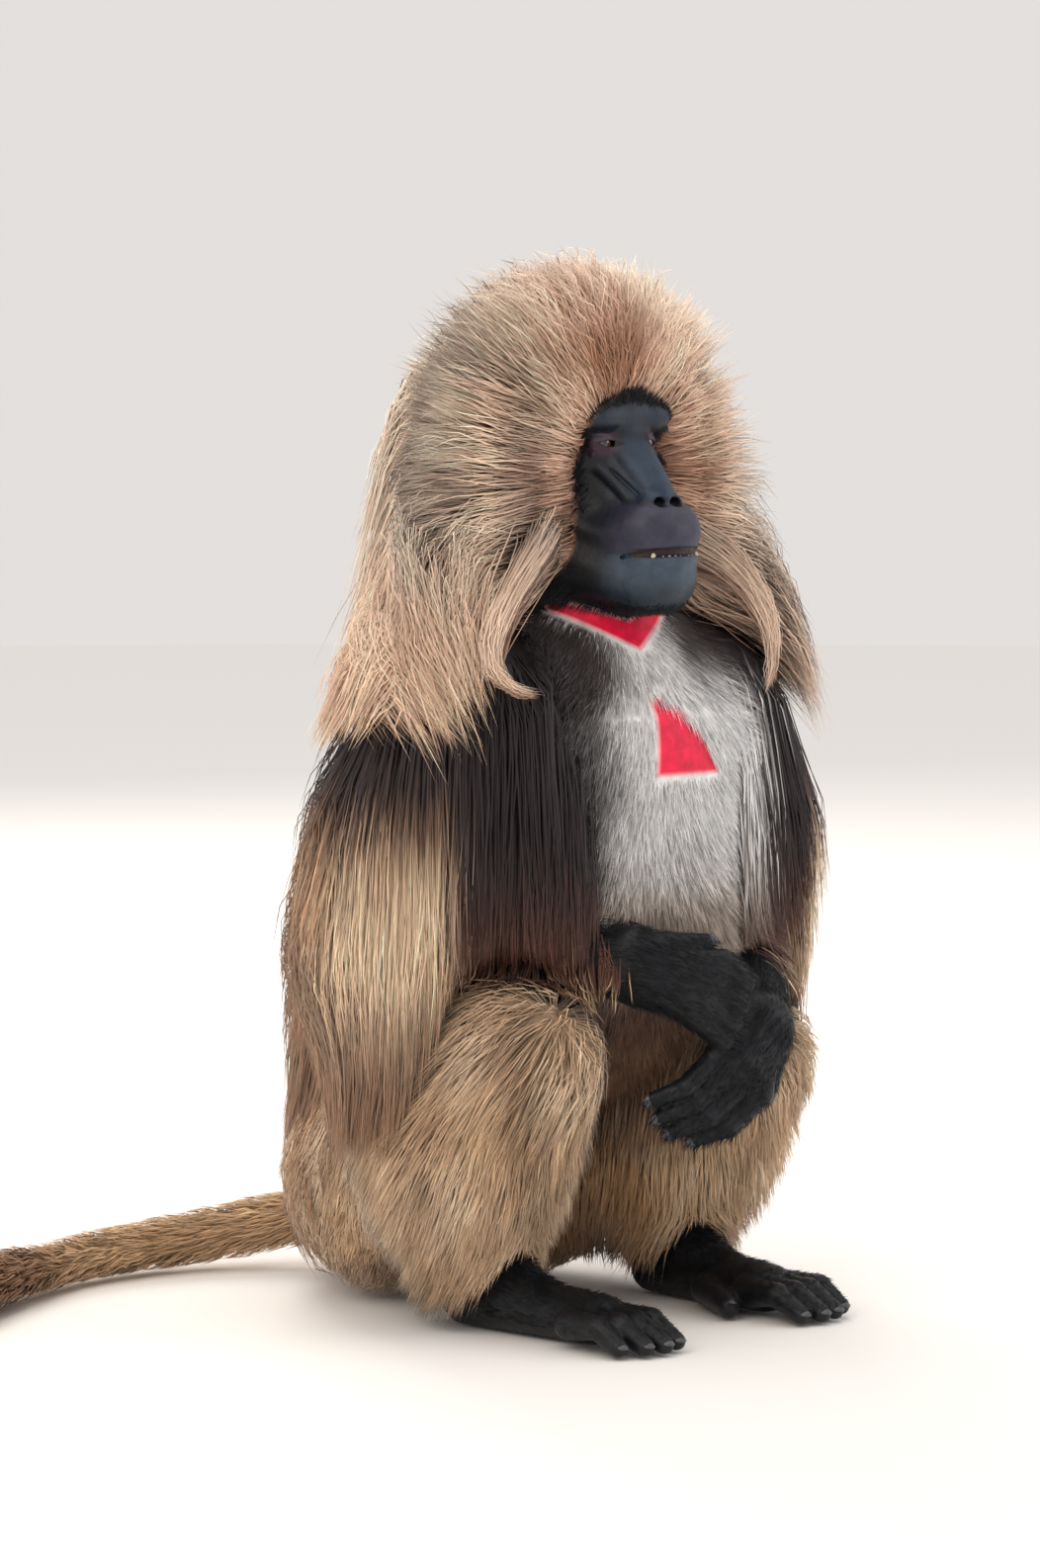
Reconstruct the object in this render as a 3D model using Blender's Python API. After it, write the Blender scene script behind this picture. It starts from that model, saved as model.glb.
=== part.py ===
"""Adult male gelada, life size, sitting upright on its haunches with its hands crossed in its lap.

Metres, +Z up. The animal faces -Y, its left side is +X and the floor is z = 0.
The origin is the middle of the seat, on the floor. The solids follow the outline of the coat.
"""

import math

import bmesh
import bpy
import numpy as np
from mathutils import Matrix, Vector

# Driving dimensions, in metres
GAP = 0.0010
HEAD_GAP = 0.0036
HEAD_CUTTER_TRIANGLES = 420
SLIVER_SHARE = 0.80
SLIVER_LIMIT = 1.2
EYE_RADIUS = 0.0105
FOREARM_RADIUS = 0.030
FINGER_RADIUS = 0.0085
TOE_RADIUS = 0.0085
TAIL_RADIUS = 0.021

# Places on the middle plane or, mirrored by side, on the left half
SEAT = (0.0, 0.005, 0.080)
LOINS = (0.0, -0.035, 0.190)
BELLY = (0.0, -0.122, 0.318)
CHEST = (0.0, -0.135, 0.420)
WITHERS = (0.0, -0.120, 0.475)
THROAT = (0.0, -0.165, 0.515)
SKULL = (0.0, -0.160, 0.682)
EYE = (0.0210, -0.2005, 0.6520)
NASION = (0.0, -0.203, 0.652)
NOSE_TIP = (0.0, -0.2385, 0.6175)
MUZZLE = (0.0, -0.240, 0.5865)
CHIN = (0.0, -0.240, 0.5535)
JAW_ANGLE = (0.044, -0.175, 0.566)
CHEEKBONE = (0.052, -0.183, 0.638)
SHOULDER = (0.122, -0.165, 0.462)
HIP = (0.070, -0.035, 0.105)

# The two arms and the two legs differ, so each side has its own places
ELBOW = {-1: (-0.158, -0.120, 0.285), 1: (0.158, -0.145, 0.280)}
WRIST = {-1: (-0.058, -0.268, 0.276), 1: (0.056, -0.296, 0.226)}
KNUCKLES = {-1: (-0.006, -0.306, 0.254), 1: (0.022, -0.306, 0.190)}
FINGER_BEND = {-1: (0.012, -0.314, 0.236), 1: (-0.014, -0.303, 0.165)}
FINGERTIPS = {-1: (0.010, -0.296, 0.214), 1: (-0.036, -0.285, 0.155)}
KNEE = {-1: (-0.122, -0.232, 0.196), 1: (0.110, -0.212, 0.186)}
ANKLE = {-1: (-0.100, -0.165, 0.045), 1: (0.098, -0.160, 0.045)}
TOES = {-1: (-0.088, -0.342, 0.012), 1: (0.086, -0.328, 0.012)}

# Colours of the sub-parts, linear RGB
BUFF = (0.42, 0.30, 0.19)
CREAM = (0.62, 0.50, 0.36)
DARK_BROWN = (0.045, 0.030, 0.028)
GREY_WHITE = (0.50, 0.49, 0.48)
BLACK_SKIN = (0.022, 0.026, 0.033)
BLACK_HAIR = (0.012, 0.012, 0.015)
IRIS_BROWN = (0.10, 0.035, 0.018)


def on_side(side, place):
    """The place on the left half, mirrored to the animal's right where side is -1."""
    return Vector((side * place[0], place[1], place[2]))


def between(start, end, share):
    """The point that share of the way from start to end."""
    return Vector(start).lerp(Vector(end), share)


def finish(name, colour, roughness):
    """One plain finish for each kind of surface."""
    material = bpy.data.materials.get(name) or bpy.data.materials.new(name)
    material.use_nodes = True
    shader = material.node_tree.nodes["Principled BSDF"]
    shader.inputs["Base Color"].default_value = (*colour, 1.0)
    shader.inputs["Roughness"].default_value = roughness
    shader.inputs["Metallic"].default_value = 0.0
    return material


def add_surface(bm, rings, first_pole, last_pole):
    """A closed skin over rings of points, closed by a pole at each end."""
    grid = [[bm.verts.new(point) for point in ring] for ring in rings]
    start = bm.verts.new(first_pole)
    end = bm.verts.new(last_pole)
    count = len(grid[0])
    for i in range(count):
        j = (i + 1) % count
        bm.faces.new((start, grid[0][j], grid[0][i]))
        bm.faces.new((end, grid[-1][i], grid[-1][j]))
        for low, high in zip(grid, grid[1:]):
            bm.faces.new((low[i], low[j], high[j], high[i]))


def add_link(bm, start, end, start_radius, end_radius, wide=1.0, across=(1, 0, 0)):
    """A round cone from start to end with ball ends, stretched by wide along across."""
    start, end, across = Vector(start), Vector(end), Vector(across).normalized()
    axis = end - start
    axis = axis.normalized() if axis.length > 1e-6 else Vector((0, 0, 1))
    first = axis.orthogonal().normalized()
    second = axis.cross(first)
    stretch = Matrix.Identity(3)
    for i in range(3):
        for j in range(3):
            stretch[i][j] += (wide - 1) * across[i] * across[j]
    rings = []
    for centre, radius, low, high in ((start, start_radius, -75, 0), (end, end_radius, 0, 75)):
        for latitude in np.radians(np.linspace(low, high, 4)):
            ring = []
            for turn in np.linspace(0, 2 * math.pi, 16, endpoint=False):
                outward = (first * math.cos(turn) + second * math.sin(turn)) * math.cos(latitude)
                ring.append(centre + stretch @ ((outward + axis * math.sin(latitude)) * radius))
            rings.append(ring)
    first_pole = start - stretch @ (axis * start_radius)
    last_pole = end + stretch @ (axis * end_radius)
    add_surface(bm, rings, first_pole, last_pole)


def add_chain(bm, stations, wide=1.0, across=(1, 0, 0)):
    """Round cones through the stations (place, radius), one after the other."""
    for (start, start_radius), (end, end_radius) in zip(stations, stations[1:]):
        add_link(bm, start, end, start_radius, end_radius, wide, across)


def add_ball(bm, centre, radii, tilt=0.0):
    """An ellipsoid with its three radii, tipped nose down about X by tilt radians."""
    place = Matrix.Translation(centre) @ Matrix.Rotation(tilt, 4, "X") @ Matrix.Diagonal((*radii, 1))
    bmesh.ops.create_icosphere(bm, subdivisions=3, radius=1.0, matrix=place)


def evaluated_mesh(obj):
    """A plain copy of the object's mesh with its modifiers applied."""
    bpy.context.view_layer.update()
    graph = bpy.context.evaluated_depsgraph_get()
    return bpy.data.meshes.new_from_object(obj.evaluated_get(graph), depsgraph=graph)


def apply_modifiers(obj):
    """Replaces the object's mesh by its evaluated one."""
    mesh = evaluated_mesh(obj)
    obj.modifiers.clear()
    obj.data = mesh


def keep_largest(obj):
    """Drops the crumbs that a cut leaves beside the main body."""
    bm = bmesh.new()
    bm.from_mesh(obj.data)
    unseen = set(bm.verts)
    islands = []
    while unseen:
        front = [unseen.pop()]
        island = set(front)
        while front:
            for edge in front.pop().link_edges:
                for vert in edge.verts:
                    if vert in unseen:
                        unseen.discard(vert)
                        island.add(vert)
                        front.append(vert)
        islands.append(island)
    islands.sort(key=len, reverse=True)
    for island in islands[1:]:
        bmesh.ops.delete(bm, geom=list(island), context="VERTS")
    bm.to_mesh(obj.data)
    bm.free()


def thin_out(obj, triangles):
    """Leaves the object about that many triangles, where it has more."""
    obj.data.calc_loop_triangles()
    thin = obj.modifiers.new("thin", "DECIMATE")
    thin.ratio = min(1.0, triangles / len(obj.data.loop_triangles))
    thin.use_collapse_triangulate = True
    apply_modifiers(obj)


def fused(name, bm, voxel, triangles, material, smoothing=4):
    """One closed body from the overlapping shapes in bm: remeshed, smoothed, then thinned out."""
    mesh = bpy.data.meshes.new(name)
    bmesh.ops.recalc_face_normals(bm, faces=bm.faces)
    bm.to_mesh(mesh)
    bm.free()
    obj = bpy.data.objects.new(name, mesh)
    bpy.context.scene.collection.objects.link(obj)
    remesh = obj.modifiers.new("fuse", "REMESH")
    remesh.mode = "VOXEL"
    remesh.voxel_size = voxel
    remesh.adaptivity = 0.0
    soften = obj.modifiers.new("soften", "SMOOTH")
    soften.factor = 0.5
    soften.iterations = smoothing
    apply_modifiers(obj)
    thin_out(obj, triangles)
    obj.data.materials.append(material)
    obj.data.shade_smooth()
    return obj


def grown(obj, gap, triangles):
    """A hidden cutter: the object's shape in at most that many triangles, moved outward by gap."""
    cutter = bpy.data.objects.new("cutter", obj.data.copy())
    bpy.context.scene.collection.objects.link(cutter)
    cutter.hide_render = True
    cutter.display_type = "WIRE"
    thin_out(cutter, triangles)
    bm = bmesh.new()
    bm.from_mesh(cutter.data)
    bm.normal_update()
    moves = [vert.normal * gap * min(vert.calc_shell_factor(), 3.0) for vert in bm.verts]
    for vert, move in zip(bm.verts, moves):
        vert.co += move
    bm.to_mesh(cutter.data)
    bm.free()
    return cutter


def in_triangles(mesh):
    """The mesh with every face split into triangles; None where it is empty or not closed."""
    bm = bmesh.new()
    bm.from_mesh(mesh)
    bmesh.ops.triangulate(bm, faces=bm.faces)
    closed = len(bm.faces) > 0 and all(len(edge.link_faces) == 2 for edge in bm.edges)
    bm.to_mesh(mesh)
    bm.free()
    return mesh if closed else None


def cut(obj, cutter):
    """Takes the cutter's shape out of the object, by the second solver where the first leaves it open."""
    for solver in ("EXACT", "MANIFOLD"):
        boolean = obj.modifiers.new("cut", "BOOLEAN")
        boolean.operation = "DIFFERENCE"
        boolean.solver = solver
        boolean.object = cutter
        remainder = in_triangles(evaluated_mesh(obj))
        obj.modifiers.clear()
        if remainder:
            obj.data = remainder
            return


def overlap_boxes(first, second):
    """Whether the two objects' boxes meet."""
    corners = []
    for obj in (first, second):
        places = np.array([vert.co for vert in obj.data.vertices])
        corners.append((places.min(0) - GAP, places.max(0) + GAP))
    return bool((corners[0][0] < corners[1][1]).all() and (corners[1][0] < corners[0][1]).all())


def eye(side):
    """The eyeball, a plain ball in its socket."""
    bm = bmesh.new()
    bmesh.ops.create_uvsphere(bm, u_segments=12, v_segments=8, radius=EYE_RADIUS)
    bmesh.ops.rotate(bm, verts=bm.verts, matrix=Matrix.Rotation(math.pi / 2, 3, "X"))
    bmesh.ops.translate(bm, verts=bm.verts, vec=on_side(side, EYE))
    mesh = bpy.data.meshes.new("eye")
    bm.to_mesh(mesh)
    bm.free()
    mesh.shade_smooth()
    mesh.materials.append(finish("eye_brown", IRIS_BROWN, 0.15))
    obj = bpy.data.objects.new("eye_left" if side > 0 else "eye_right", mesh)
    bpy.context.scene.collection.objects.link(obj)
    return obj


def head():
    """Skull, brow ridge, hollow cheeks, steep nose and the tall rounded muzzle, all bare skin."""
    bm = bmesh.new()
    add_ball(bm, SKULL, (0.056, 0.062, 0.050))
    brow_height = 0.6710
    add_link(bm, (-0.030, -0.2095, brow_height), (0.030, -0.2095, brow_height), 0.0105, 0.0105)
    for side in (-1, 1):
        brow_end = (side * 0.0455, -0.1915, brow_height - 0.0045)
        add_link(bm, (side * 0.030, -0.2095, brow_height), brow_end, 0.0105, 0.010)
        add_link(bm, brow_end, on_side(side, CHEEKBONE), 0.010, 0.013)
        under_eye = (side * 0.028, -0.200, 0.6385)
        add_link(bm, on_side(side, CHEEKBONE), under_eye, 0.013, 0.009)
        add_link(bm, under_eye, (side * 0.016, -0.231, 0.608), 0.009, 0.0085)
        add_link(bm, on_side(side, CHEEKBONE), on_side(side, JAW_ANGLE), 0.020, 0.024)
        add_link(bm, on_side(side, JAW_ANGLE), (side * 0.014, -0.236, 0.551), 0.026, 0.0235)
        add_link(bm, (side * 0.027, -0.178, 0.608), (side * 0.014, -0.230, 0.582), 0.030, 0.0275)
        add_ball(bm, (side * 0.0165, -0.2445, 0.590), (0.0197, 0.0197, 0.0197))
    add_link(bm, NASION, NOSE_TIP, 0.0177, 0.0127, 1.25)
    add_ball(bm, MUZZLE, (0.0338, 0.0323, 0.0243), 0.1)
    add_ball(bm, CHIN, (0.0338, 0.0313, 0.0273), -0.15)
    add_ball(bm, between(MUZZLE, CHIN, 0.5), (0.0326, 0.0312, 0.020))
    add_link(bm, (0, -0.183, 0.640), (0, -0.197, 0.590), 0.036, 0.035)
    face = fused("head", bm, 0.0028, 900, finish("face_skin", BLACK_SKIN, 0.5), 3)
    cutters = bmesh.new()
    for side in (-1, 1):
        nostril = Vector((side * 0.0078, -0.2550, 0.6085))
        add_link(cutters, nostril, nostril + Vector((side * 0.006, 0.012, 0.004)), 0.0042, 0.003)
    mouth = [(0.0345 * math.sin(t), -0.240 - 0.0325 * math.cos(t)) for t in np.linspace(-1.7, 1.7, 9)]
    lips_height = 0.5725
    for (x0, y0), (x1, y1) in zip(mouth, mouth[1:]):
        add_link(cutters, (x0, y0, lips_height), (x1, y1, lips_height), 0.0022, 0.0022)
    cutter = fused("face_cutter", cutters, 0.0012, 300, finish("face_skin", BLACK_SKIN, 0.5), 1)
    cutter.hide_render = True
    cutter.display_type = "WIRE"
    cut(face, cutter)
    return face


def mane_crown():
    """Hair of the crown, which stands up and back from the brow in soft points."""
    bm = bmesh.new()
    middle = Vector((0.0, -0.150, 0.690))
    fullness = 2.4
    add_ball(bm, middle, (0.120, 0.074, 0.074))
    add_ball(bm, (0.0, -0.090, 0.672), (0.116, 0.082, 0.084))
    for i in range(11):
        turn = math.radians(-100 + 20 * i)
        lean = Vector((math.sin(turn), 0.05 + 0.20 * (i % 2), math.cos(turn)))
        square = 1.0 / (abs(lean.x) ** fullness + abs(lean.z) ** fullness) ** (1 / fullness)
        tip = middle + Vector((lean.x * 0.150 * square, lean.y * 0.10, lean.z * 0.086 * square))
        add_link(bm, middle + lean * 0.045, tip, 0.048, 0.010)
    return fused("mane_crown", bm, 0.005, 380, finish("mane_hair", CREAM, 0.8), 4)


def mane_side(side):
    """Side whiskers, swept out and back from the cheek, with the long lock that hangs from them."""
    bm = bmesh.new()
    add_chain(
        bm,
        [
            (on_side(side, (0.092, -0.162, 0.700)), 0.052),
            (on_side(side, (0.104, -0.168, 0.640)), 0.058),
            (on_side(side, (0.110, -0.170, 0.590)), 0.056),
            (on_side(side, (0.128, -0.182, 0.545)), 0.046),
            (on_side(side, (0.138, -0.200, 0.503)), 0.030),
            (on_side(side, (0.145, -0.222, 0.462)), 0.007),
        ],
    )
    for i in range(6):
        height = 0.712 - 0.030 * i
        start = on_side(side, (0.090, -0.150, height))
        tip = on_side(side, (0.171 - 0.004 * abs(i - 3), -0.158 + 0.012 * i, height - 0.020))
        add_link(bm, start, tip, 0.038, 0.009)
    name = "mane_left" if side > 0 else "mane_right"
    return fused(name, bm, 0.005, 290, finish("mane_hair", CREAM, 0.8), 4)


def mane_nape():
    """Hair of the nape, which falls over the back of the neck and the withers."""
    bm = bmesh.new()
    add_chain(
        bm,
        [((0, -0.098, 0.640), 0.099), ((0, -0.078, 0.545), 0.099), ((0, -0.064, 0.475), 0.102)],
        1.38,
    )
    return fused("mane_nape", bm, 0.007, 170, finish("mane_hair", CREAM, 0.8), 6)


def cape_back():
    """The mantle: long hair that falls from the withers over the back, to points over the rump."""
    bm = bmesh.new()
    add_chain(
        bm,
        [((0, -0.070, 0.450), 0.112), ((0, -0.048, 0.350), 0.120), ((0, -0.022, 0.245), 0.117)],
        1.42,
    )
    for i in range(7):
        turn = math.radians(-72 + 24 * i)
        outward = Vector((1.45 * math.sin(turn), math.cos(turn), 0))
        start = Vector((0, -0.022, 0.230)) + outward * 0.072
        tip = Vector((0, -0.014, 0.118)) + outward * 0.098
        add_link(bm, start, tip, 0.050, 0.014)
    return fused("cape_back", bm, 0.007, 220, finish("cape_hair", DARK_BROWN, 0.75), 6)


def upper_arm(side):
    """Upper arm under its cape: long hair that hangs from the shoulder past the elbow."""
    bm = bmesh.new()
    elbow = Vector(ELBOW[side])
    shoulder = on_side(side, SHOULDER)
    add_chain(
        bm,
        [(shoulder, 0.074), (between(shoulder, elbow, 0.5), 0.081), (elbow, 0.074)],
        1.35,
        (0, 1, 0),
    )
    for i in range(7):
        turn = math.radians(-150 + 50 * i)
        outward = Vector((side * math.cos(turn), math.sin(turn), 0))
        start = between(shoulder, elbow, 0.75) + outward * 0.030
        tip = elbow + Vector((outward.x * 0.050, outward.y * 0.078, -0.078 + 0.012 * (i % 3)))
        add_link(bm, start, tip, 0.048, 0.012)
    name = "upper_arm_left" if side > 0 else "upper_arm_right"
    return fused(name, bm, 0.006, 230, finish("cape_hair", DARK_BROWN, 0.75), 5)


def forearm(side):
    """Forearm from the elbow to the wrist, in short black hair."""
    bm = bmesh.new()
    elbow, wrist = Vector(ELBOW[side]), Vector(WRIST[side])
    add_chain(
        bm,
        [
            (between(elbow, wrist, 0.1), FOREARM_RADIUS * 1.25),
            (between(elbow, wrist, 0.45), FOREARM_RADIUS * 1.2),
            (between(elbow, wrist, 0.92), FOREARM_RADIUS * 0.85),
        ],
    )
    name = "forearm_left" if side > 0 else "forearm_right"
    return fused(name, bm, 0.005, 110, finish("black_hair", BLACK_HAIR, 0.7), 3)


def hand(side):
    """Hand with the palm, four curled fingers side by side and the short thumb."""
    bm = bmesh.new()
    wrist, knuckles = Vector(WRIST[side]), Vector(KNUCKLES[side])
    bend, tips = Vector(FINGER_BEND[side]), Vector(FINGERTIPS[side])
    along = (knuckles - wrist).normalized()
    spread = Vector((0, 0, 1)) if side < 0 else Vector((0.75, -0.25, -0.62))
    spread = (spread - along * spread.dot(along)).normalized()
    add_link(bm, wrist, between(wrist, knuckles, 0.85), 0.021, 0.018, 1.45, spread)
    for i in range(4):
        offset = spread * (0.0155 * (1.5 - i))
        reach = 1.0 - 0.10 * abs(i - 1.3)
        knuckle = knuckles + offset
        middle = knuckle + (bend - knuckles) * reach
        tip = middle + (tips - bend) * reach
        add_link(bm, between(wrist, knuckle, 0.6), knuckle, 0.012, FINGER_RADIUS * 1.2)
        add_link(bm, knuckle, middle, FINGER_RADIUS * 1.15, FINGER_RADIUS)
        add_link(bm, middle, tip, FINGER_RADIUS, FINGER_RADIUS * 0.75)
    thumb_root = between(wrist, knuckles, 0.30) + spread * 0.020
    thumb_tip = between(wrist, knuckles, 0.85) + spread * 0.035 + Vector((0, 0.008, 0))
    add_link(bm, thumb_root, thumb_tip, 0.011, 0.0065)
    name = "hand_left" if side > 0 else "hand_right"
    return fused(name, bm, 0.0028, 330, finish("black_hair", BLACK_HAIR, 0.7), 2)


def thigh(side):
    """Thigh from the haunch to the raised knee, with the fur that hangs from it."""
    bm = bmesh.new()
    hip, knee = on_side(side, HIP), Vector(KNEE[side])
    add_chain(
        bm,
        [(hip, 0.092), (between(hip, knee, 0.55), 0.090), (knee, 0.078)],
    )
    name = "thigh_left" if side > 0 else "thigh_right"
    return fused(name, bm, 0.007, 150, finish("buff_hair", BUFF, 0.8), 4)


def shank(side):
    """Lower leg from the knee to the ankle, full behind, with fur that covers the heel."""
    bm = bmesh.new()
    knee, ankle = Vector(KNEE[side]), Vector(ANKLE[side])
    calf = between(knee, ankle, 0.45) + Vector((side * 0.006, 0.028, 0))
    heel = ankle + Vector((side * 0.006, 0.006, 0.030))
    add_chain(bm, [(between(knee, calf, 0.35), 0.060), (calf, 0.088), (heel, 0.068)], 1.12)
    for i in range(8):
        turn = math.radians(45 * i)
        outward = Vector((side * math.cos(turn), math.sin(turn), 0))
        tip = heel + Vector((outward.x * 0.068, outward.y * 0.054, -0.050))
        add_link(bm, heel + outward * 0.024, tip, 0.042, 0.011)
    name = "shank_left" if side > 0 else "shank_right"
    return fused(name, bm, 0.006, 220, finish("buff_hair", BUFF, 0.8), 3)


def foot(side):
    """Long flat foot with the heel, five toes and their knuckles, sole on the floor."""
    bm = bmesh.new()
    ankle, toes = Vector(ANKLE[side]), Vector(TOES[side])
    heel = Vector((ankle.x, ankle.y + 0.012, 0.020))
    ball = between(heel, toes, 0.66)
    ball.z = 0.019
    add_link(bm, heel, ball, 0.023, 0.020, 1.25)
    add_link(bm, ankle, between(heel, ball, 0.5) + Vector((0, 0, 0.006)), 0.026, 0.020)
    for i in range(4):
        offset = side * (0.0285 - 0.0165 * i)
        root = Vector((ball.x + offset * 0.9, ball.y + 0.004, 0.018))
        reach = (0.050, 0.060, 0.063, 0.058)[i]
        knuckle = Vector((ball.x + offset, ball.y - reach * 0.55, 0.021))
        tip = Vector((ball.x + offset, ball.y - reach, 0.0085))
        add_link(bm, root, knuckle, 0.0125, TOE_RADIUS * 1.1)
        add_link(bm, knuckle, tip, TOE_RADIUS * 1.1, TOE_RADIUS * 0.85)
    hallux_root = Vector((ball.x - side * 0.022, ball.y + 0.040, 0.016))
    hallux_tip = Vector((ball.x - side * 0.043, ball.y - 0.004, 0.0105))
    add_link(bm, hallux_root, hallux_tip, 0.013, 0.009)
    name = "foot_left" if side > 0 else "foot_right"
    return fused(name, bm, 0.0032, 250, finish("black_hair", BLACK_HAIR, 0.7), 2)


def tail_route():
    """The tail's middle line: it leaves the rump, lies down and sweeps to the animal's right."""
    route = []
    for share in np.linspace(0, 1, 25):
        sweep = math.radians(100 * share)
        x = -0.430 * share**1.35
        y = 0.085 + 0.120 * math.sin(sweep * 1.5) - 0.080 * share**2
        z = TAIL_RADIUS + 0.040 * (1 - share) ** 4 - 0.002
        route.append(Vector((x, y, z)))
    return route


def tail(name, first, last, tuft=0.0):
    """One length of the tail, from step first to step last of its route, swollen by a tuft."""
    bm = bmesh.new()
    route = tail_route()
    stations = []
    for i in range(first, last + 1):
        radius = TAIL_RADIUS * (1.25 - 0.35 * i / (len(route) - 1))
        radius += tuft * math.sin(math.pi * (i - first) / (last - first))
        stations.append((route[i], radius))
    add_chain(bm, stations)
    return fused(name, bm, 0.005, 120, finish("buff_hair", BUFF, 0.8), 2)


def neck():
    """Short thick neck with the throat, between the jaw and the chest."""
    bm = bmesh.new()
    add_link(bm, (0, -0.120, 0.480), (0, -0.150, 0.610), 0.085, 0.062)
    add_link(bm, THROAT, (0, -0.180, 0.560), 0.050, 0.040, 1.2)
    return fused("neck", bm, 0.006, 90, finish("black_hair", BLACK_HAIR, 0.7), 3)


def trunk():
    """Chest, belly, loins and seat, one barrel that leans forward a little."""
    bm = bmesh.new()
    add_link(bm, SEAT, LOINS, 0.100, 0.125, 1.15)
    add_link(bm, LOINS, BELLY, 0.125, 0.148, 1.08)
    add_link(bm, BELLY, CHEST, 0.148, 0.132, 1.05)
    add_link(bm, CHEST, WITHERS, 0.132, 0.098, 1.20)
    return fused("trunk", bm, 0.008, 240, finish("chest_hair", GREY_WHITE, 0.8), 5)


def floor_cutter():
    """Everything below the floor, which leaves the seat, the soles and the tail with small flats."""
    bm = bmesh.new()
    bmesh.ops.create_cube(bm, size=2.0, matrix=Matrix.Translation((0, 0, -1.0)))
    mesh = bpy.data.meshes.new("floor_cutter")
    bm.to_mesh(mesh)
    bm.free()
    cutter = bpy.data.objects.new("floor_cutter", mesh)
    bpy.context.scene.collection.objects.link(cutter)
    cutter.hide_render = True
    cutter.display_type = "WIRE"
    return cutter


def main():
    """Builds the pieces in order: where two meet, the one made first keeps its shape."""
    for obj in list(bpy.data.objects):
        bpy.data.objects.remove(obj)
    pieces = [eye(-1), eye(1), head(), trunk(), neck()]
    pieces += [hand(-1), hand(1), forearm(-1), forearm(1), foot(-1), foot(1)]
    pieces += [thigh(-1), thigh(1), shank(-1), shank(1)]
    pieces += [mane_side(-1), mane_side(1), mane_nape(), mane_crown(), cape_back()]
    pieces += [upper_arm(-1), upper_arm(1)]
    pieces += [tail("tail_base", 0, 8), tail("tail_middle", 8, 16), tail("tail_tuft", 16, 24, 0.010)]
    below = floor_cutter()
    cutters = []
    for piece in pieces:
        if piece.name == "head":
            cutters.append(grown(piece, HEAD_GAP, HEAD_CUTTER_TRIANGLES))
        else:
            cutters.append(grown(piece, GAP, len(piece.data.polygons)))
    whole_counts = [len(piece.data.polygons) for piece in pieces]
    for i, piece in enumerate(pieces):
        for cutter in cutters[:i]:
            if overlap_boxes(piece, cutter):
                cut(piece, cutter)
        keep_largest(piece)
        if len(piece.data.polygons) > SLIVER_LIMIT * whole_counts[i] and piece.name != "trunk":
            thin_out(piece, int(SLIVER_SHARE * len(piece.data.polygons)))
        if min(vert.co.z for vert in piece.data.vertices) < 0:
            cut(piece, below)


main()
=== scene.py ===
import math

import bmesh
import bpy
import numpy as np
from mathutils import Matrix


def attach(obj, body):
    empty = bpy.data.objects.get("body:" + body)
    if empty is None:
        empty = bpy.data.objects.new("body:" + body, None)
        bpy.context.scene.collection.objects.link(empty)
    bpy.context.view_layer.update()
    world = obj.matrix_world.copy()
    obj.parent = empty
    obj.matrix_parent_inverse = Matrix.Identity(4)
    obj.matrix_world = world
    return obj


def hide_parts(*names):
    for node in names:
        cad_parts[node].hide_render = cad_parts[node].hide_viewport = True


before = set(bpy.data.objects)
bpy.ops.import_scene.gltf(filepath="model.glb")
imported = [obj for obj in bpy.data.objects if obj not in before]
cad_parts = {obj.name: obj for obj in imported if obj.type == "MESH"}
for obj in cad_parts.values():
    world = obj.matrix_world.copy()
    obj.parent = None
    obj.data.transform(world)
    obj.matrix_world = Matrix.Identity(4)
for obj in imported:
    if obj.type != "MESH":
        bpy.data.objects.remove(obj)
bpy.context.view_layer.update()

# The room for the picture: a wide pale floor that fades into pale air, under a soft overcast.
# A broad light stands high in front, a cooler one fills from the right and one behind edges the coat.


def linear(code):
    """An sRGB hex colour as linear red, green and blue."""
    parts = np.array([int(code[i : i + 2], 16) / 255 for i in (1, 3, 5)])
    return np.where(parts <= 0.04045, parts / 12.92, ((parts + 0.055) / 1.055) ** 2.4)


def new_mesh(name, places, faces, smooth=True):
    """An object with a mesh of these points and faces, which all have the same number of corners."""
    mesh = bpy.data.meshes.new(name)
    places, faces = np.asarray(places, np.float32), np.asarray(faces, np.int32)
    mesh.vertices.add(len(places))
    mesh.vertices.foreach_set("co", places.ravel())
    mesh.loops.add(faces.size)
    mesh.loops.foreach_set("vertex_index", faces.ravel())
    mesh.polygons.add(len(faces))
    mesh.polygons.foreach_set("loop_start", np.arange(0, faces.size, faces.shape[1], dtype=np.int32))
    mesh.polygons.foreach_set("use_smooth", np.full(len(faces), smooth))
    mesh.update(calc_edges=True)
    mesh.validate()
    thing = bpy.data.objects.new(name, mesh)
    bpy.context.scene.collection.objects.link(thing)
    return thing


def add_node(material, kind, settings=(), links=(), out=0):
    """Adds one node with its settings and its links from other sockets, and returns its socket out."""
    node = material.node_tree.nodes.new("ShaderNode" + kind)
    for name, value in dict(settings).items():
        if name in node.inputs:
            node.inputs[name].default_value = value
        else:
            setattr(node, name, value)
    for name, source in dict(links).items():
        material.node_tree.links.new(source, node.inputs[name])
    return node.outputs[out]


def new_material(name, roughness, specular=0.5):
    """A material with one Principled shader, returned with that shader."""
    material = bpy.data.materials.new(name)
    material.use_nodes = True
    shader = material.node_tree.nodes["Principled BSDF"]
    shader.inputs["Roughness"].default_value = roughness
    shader.inputs["Specular IOR Level"].default_value = specular
    return material, shader


def aim(thing, target):
    """Turns the object so that its -Z looks at the target, with +Y up."""
    way = np.subtract(target, thing.location)
    flat = math.hypot(way[0], way[1])
    thing.rotation_euler = (math.atan2(flat, -way[2]), 0, math.atan2(way[1], way[0]) - math.pi / 2)


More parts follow.
